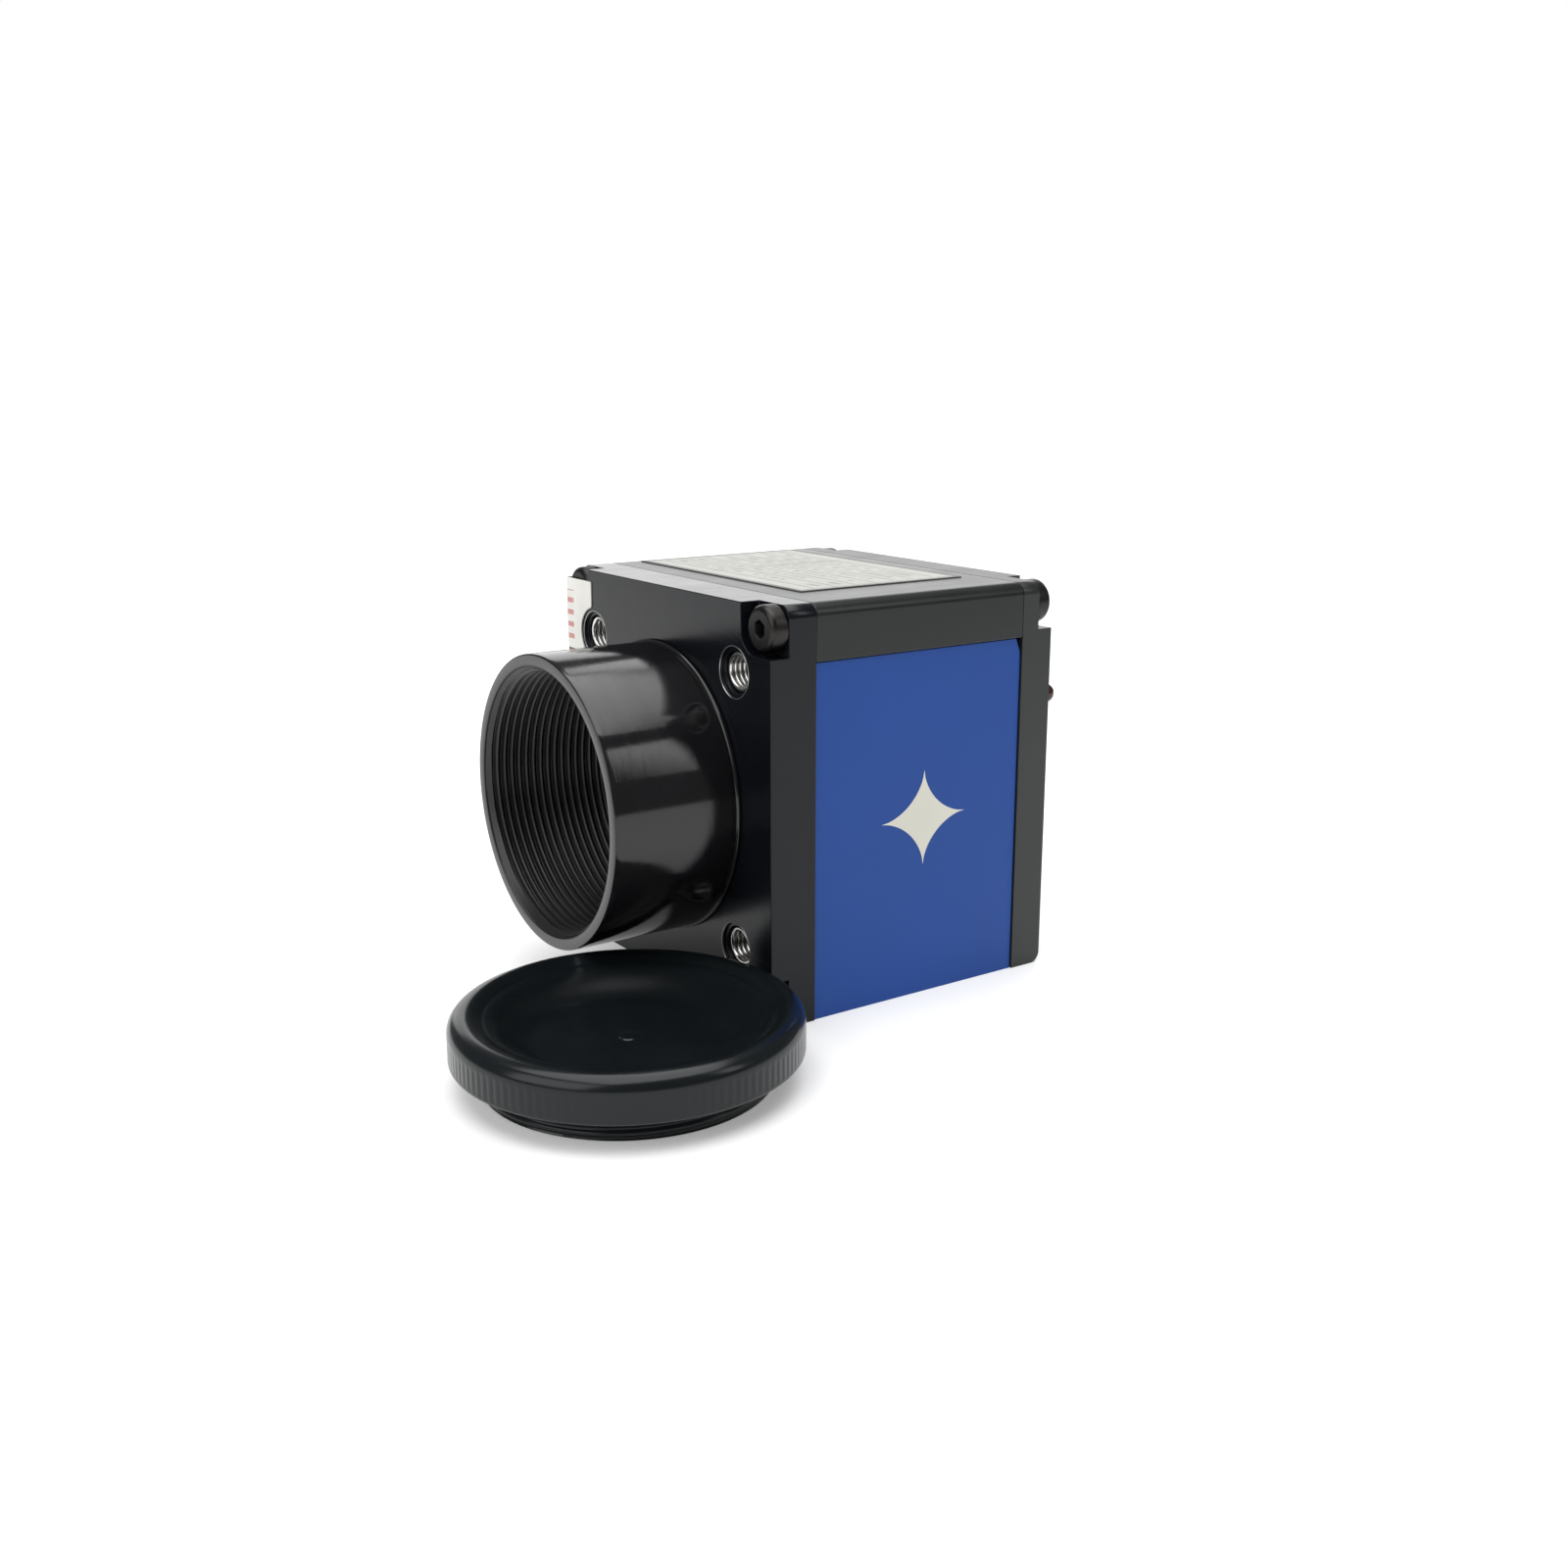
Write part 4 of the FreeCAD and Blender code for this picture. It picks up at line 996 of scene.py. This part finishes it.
@dataclass
class Labels:
    """The rating label on top and the paper seal over one front screw."""

    seal_thickness: float = 0.1
    seal_bulge: float = 0.35
    wrap: float = 3.0
    ring: float = 2.75
    corner: float = 0.35
    columns: int = 60
    rows: int = 40

    def build(self) -> None:
        """Dresses the label and builds the seal."""
        dress(PLATE_LABEL, "top_label")
        node = "inspection_sticker"
        build_piece("seal_sheet", [self.sheet(*box_mm(node))], SEAL, (node,))

    def sheet(self, low: Array, high: Array) -> Grid:
        """Sheet that lies on the front, turns the corner and runs along the side, with its own thickness.

        Along the sheet the path is a straight run on the front, a quarter circle round the corner and a run
        on the side. The sheet stands off by a sine of both directions over the notch, and its inner edge
        follows a circle round the thread insert where that is nearer.

        Args:
            low: Low corner of the CAD sticker.
            high: High corner of the CAD sticker.

        Returns:
            The closed grid: columns go round the sheet's section, rows go up.
        """
        corner = self.corner
        front_y, side_x = low[1], low[0]
        up = np.linspace(low[2], high[2], self.rows)
        rise = ((up - low[2]) / (high[2] - low[2]))[:, None]
        share = np.linspace(0.0, 1.0, self.columns)
        run_front = high[0] - side_x - corner
        run_side = self.wrap - corner
        quarter = corner * math.pi / 2
        reach = share * (run_front + quarter + run_side)
        turn = np.clip((reach - run_front) / quarter, 0.0, 1.0) * math.pi / 2
        rest = np.clip(reach - run_front - quarter, 0.0, None)
        x = high[0] - np.clip(reach, None, run_front) - corner * np.sin(turn)
        y = front_y + corner * (1 - np.cos(turn)) + rest
        out = np.stack([-np.sin(turn), -np.cos(turn)], axis=-1)
        centre = (-INSERT_PLACE, AXIS_Z + INSERT_PLACE)
        gap = self.ring ** 2 - (up[:, None] - centre[1]) ** 2
        edge = np.where(gap > 0, centre[0] - np.sqrt(np.clip(gap, 0, None)), high[0])
        edge = np.minimum(edge, high[0])
        path_x = np.where(x[None, :] > edge, edge, x[None, :])
        wave = np.sin(math.pi * rise) * np.sin(math.pi * np.clip(share * 1.15, 0, 1))[None, :]
        ripple = 0.25 * np.sin(5 * math.pi * share)[None, :] * np.sin(2.3 * math.pi * rise)
        lift = self.seal_bulge * wave * (0.6 + ripple)
        layers = []
        for extra in (0.0, self.seal_thickness):
            off = lift * 0.35 + extra
            layers.append(np.stack([path_x + out[None, :, 0] * (off - self.seal_thickness),
                                    y[None, :] + out[None, :, 1] * (off - self.seal_thickness),
                                    up[:, None] + 0.0 * path_x], axis=-1))
        section = np.concatenate([layers[1], layers[0][:, ::-1]], axis=1)
        return Grid(section, pole_start=True, pole_end=True)


@dataclass
class DustCap:
    """Loose cap with a dished top, a ribbed rim and a threaded skirt."""

    radius: float = 15.2
    crown: float = 13.8
    height: float = 6.5
    shoulder_z: float = 5.1
    inner: float = 12.3
    inner_z: float = 6.0
    underside: float = 2.55
    skirt: float = 12.7
    skirt_bore: float = 11.6
    floor_radius: float = 8.0
    floor_height: float = 3.7
    floor_thickness: float = 1.0
    ribs: int = 120
    rib_depth: float = 0.035
    columns_per_rib: int = 6
    pitch: float = 25.4 / 32
    thread_depth: float = 0.22
    gate: float = 0.9
    edge: float = 0.3

    def build(self) -> None:
        """Builds the cap about the middle of its CAD node."""
        centre = sum(box_mm("dust_cap")) / 2
        build_piece("dust_cap_body", [self.surface(centre[0], centre[1])], CAP_PLASTIC,
                    ("dust_cap",), Body.CAP, sharp=50.0)

    def profile(self) -> tuple[Array, Array, Array]:
        """Radius against height from the top's middle, over the rim, to the underside's middle.

        Returns:
            The profile, and masks of its ribbed and its threaded rows.
        """
        gate = np.array([(0.12, 0.0), (0.5, 0.0), (0.8, -0.02), (0.88, -0.1), (1.0, -0.1), (1.3, 0.0)])
        dish = gate * (self.gate, 1.0) + (0.0, self.floor_height)
        floor = steps([(1.8, self.floor_height), (self.floor_radius - 0.3, self.floor_height)], [4])
        share = np.linspace(0.0, 1.0, 26)
        ease = share ** 2 * (3.0 - 2.0 * share)
        wall = np.stack([self.floor_radius + (self.inner - self.floor_radius) * share,
                         self.floor_height + (self.inner_z - self.floor_height) * ease], axis=-1)
        rise = np.sin(share[1:-1:3] * math.pi / 2)
        lip = np.stack([self.inner + (self.crown - self.inner) * share[1:-1:3],
                        self.inner_z + (self.height - self.inner_z) * rise], axis=-1)
        reach = self.radius - self.crown
        crown = arc((self.crown, self.shoulder_z), reach, 90, 0, 9)
        ribbed = steps([(self.radius, self.shoulder_z - 0.2), (self.radius, self.underside + 0.5)], [9])
        under = arc((self.radius - self.edge, self.underside + self.edge), self.edge, 0, -90, 5)
        shelf = steps([(self.skirt + 0.6, self.underside), (self.skirt, self.underside - 0.25)], [2])
        threaded = steps([(self.skirt, self.underside - self.edge), (self.skirt, self.edge)], [26])
        foot = np.array([(self.skirt - 0.12, 0.12), (self.skirt - 0.35, 0.0), (self.skirt_bore + 0.15, 0.0),
                         (self.skirt_bore, 0.15)])
        top = self.floor_height - self.floor_thickness
        inside = steps([(self.skirt_bore, top - self.edge), (self.skirt_bore - self.edge, top), (0.6, top)],
                       [3, 5])
        parts = {"dish": dish, "floor": floor, "wall": wall, "lip": lip, "crown": crown, "ribbed": ribbed,
                 "under": under, "shelf": shelf, "threaded": threaded, "foot": foot, "inside": inside}
        kind = np.repeat(list(parts), [len(part) for part in parts.values()])
        return np.concatenate(list(parts.values())), kind == "ribbed", kind == "threaded"

    def surface(self, x: float, y: float) -> Grid:
        """The profile turned about a vertical axis.

        Ribbed rows lose the rib depth times a narrow groove wave of the angle; threaded rows lose the
        thread depth times a wave of height over pitch plus angle over a turn.

        Args:
            x: Axis position across.
            y: Axis position along the depth.

        Returns:
            The closed grid.
        """
        profile, ribbed, threaded = self.profile()
        angle = angles(self.ribs * self.columns_per_rib)
        radius = profile[:, :1] + 0.0 * angle
        height = profile[:, 1:] + 0.0 * angle
        groove = np.clip(1.0 - 2.4 * np.abs((angle * self.ribs / TURN) % 1.0 - 0.5), 0.0, 1.0)
        radius -= np.where(ribbed[:, None], self.rib_depth * groove, 0.0)
        wave = 1.0 - thread_wave(height / self.pitch - angle / TURN)
        radius -= np.where(threaded[:, None], self.thread_depth * wave, 0.0)
        points = np.stack([x + radius * np.cos(angle), y + radius * np.sin(angle), height], axis=-1)
        return Grid(points, pole_start=True, pole_end=True)


class Inside:
    """Window stack, image sensor, circuit boards and their fasteners."""

    def build(self) -> None:
        """Dresses each CAD node that sits inside the shell."""
        dress(RING, "window_retainer")
        dress(GLASS, "window_glass", "sensor_cover_glass")
        dress(RUBBER, "window_o_ring")
        dress(CERAMIC, "image_sensor")
        dress(DIE, "sensor_die")
        dress(BOARD, "sensor_board", "main_board", "interface_board")
        dress(CHIP_PLASTIC, "sensor_board_chips", "main_board_chips", "interface_board_chips")
        dress(CHIP_PLASTIC, "lower_header", "upper_header")
        dress(GOLD, "sensor_leads", "lower_header_pins", "upper_header_pins")
        dress(BRASS, "front_standoffs", "middle_standoffs", "rear_standoffs")
        dress(ZINC, "board_screws")


class RearSockets:
    """Data socket, guide port and status lamp on the back."""

    def build(self) -> None:
        """Dresses each CAD node of the sockets and the lamp."""
        dress(TIN, "usb_shell", "status_led_leads")
        dress(TONGUE_PLASTIC, "usb_tongue")
        dress(GOLD, "usb_contacts", "guide_port_contacts")
        dress(PORT_PLASTIC, "guide_port")
        dress(LED_EPOXY, "status_led")


@dataclass
class Softbox:
    """A rectangular area light at a direction and distance from the camera's middle."""

    name: str
    elevation: float
    azimuth: float
    width: float
    height: float
    radiance: float
    distance: float = 0.6

    def hang(self) -> None:
        """Places the light so that it faces the camera's middle."""
        up, turn = math.radians(self.elevation), math.radians(self.azimuth)
        away = np.array([math.cos(up) * math.cos(turn), math.cos(up) * math.sin(turn), math.sin(up)])
        lamp = bpy.data.lights.new(self.name, "AREA")
        lamp.shape = "RECTANGLE"
        lamp.size, lamp.size_y = self.width, self.height
        lamp.energy = self.radiance * math.pi * self.width * self.height
        light = bpy.data.objects.new(self.name, lamp)
        light.location = away * self.distance + np.array([0.0, 0.0, AXIS_Z * MM])
        light.rotation_euler = (math.pi / 2 - up, 0.0, turn + math.pi / 2)
        bpy.context.scene.collection.objects.link(light)


@dataclass
class Studio:
    """Pale floor, soft lights, pale surroundings and the camera."""

    floor_radius: float = 1.2
    room: float = 0.16
    backdrop: float = 1.0
    lens: float = 38.33
    azimuth: float = 55.42
    elevation: float = 14.24
    station: tuple[float, float, float] = (136.88, -96.43, 59.6)
    boxes: tuple[Softbox, ...] = (
        Softbox("overhead softbox", 89.9, 90.0, 1.9, 1.9, 3.2, 1.6),
        Softbox("side softbox", 31.0, 37.0, 0.13, 0.24, 2.6),
        Softbox("backdrop card", 16.0, 145.0, 1.4, 0.5, 1.5, 1.0),
        Softbox("front fill", 30.0, -80.0, 0.8, 0.6, 2.2, 0.9),
        Softbox("upper back card", 45.0, 138.0, 0.12, 0.12, 2.4, 0.6),
    )

    def build(self) -> None:
        """Makes the floor, the lights, the world and the camera."""
        ring = np.linspace(0.02, 1.0, 12)[:, None] ** 2 * self.floor_radius / MM
        angle = angles(64)
        points = np.stack([ring * np.cos(angle), ring * np.sin(angle), 0.0 * ring + 0.0 * angle], axis=-1)
        vertices, faces = Grid(points, pole_start=True).cells(0)
        mesh = bpy.data.meshes.new("studio_floor")
        mesh.from_pydata((vertices * MM).tolist(), [], faces)
        floor = bpy.data.objects.new("studio_floor", mesh)
        bpy.context.scene.collection.objects.link(floor)
        mesh.materials.append(FLOOR.material())
        for box in self.boxes:
            box.hang()
        self.light_room()
        self.set_camera()

    def light_room(self) -> None:
        """Makes the world dimmer for reflections than for the plain backdrop."""
        world = bpy.data.worlds.new("room")
        bpy.context.scene.world = world
        world.use_nodes = True
        tree = world.node_tree
        path = tree.nodes.new("ShaderNodeLightPath")
        level = tree.nodes.new("ShaderNodeMapRange")
        level.inputs["To Min"].default_value = self.room
        level.inputs["To Max"].default_value = self.backdrop
        tree.links.new(path.outputs["Is Camera Ray"], level.inputs["Value"])
        ground = tree.nodes["Background"]
        ground.inputs["Color"].default_value = (1.0, 1.0, 1.0, 1.0)
        tree.links.new(level.outputs["Result"], ground.inputs["Strength"])
        bpy.context.scene.view_settings.view_transform = "Standard"

    def set_camera(self) -> None:
        """Sets the camera level, turned to its azimuth and tilted down by its elevation."""
        data = bpy.data.cameras.new("view")
        data.lens = self.lens
        data.clip_start = 0.005
        camera = bpy.data.objects.new("view", data)
        camera.location = [value * MM for value in self.station]
        camera.rotation_euler = (math.pi / 2 - math.radians(self.elevation), 0.0, math.radians(self.azimuth))
        bpy.context.scene.collection.objects.link(camera)
        bpy.context.scene.camera = camera


def main() -> None:
    """Builds the studio and every sub-assembly in order."""
    logging.basicConfig(level=logging.INFO, format="%(message)s")
    parts = (Studio(), Shell(), LensTube(), Inserts(), Screws(), Labels(), Inside(), RearSockets(), DustCap())
    for part in parts:
        part.build()


if __name__ == "__main__":
    main()
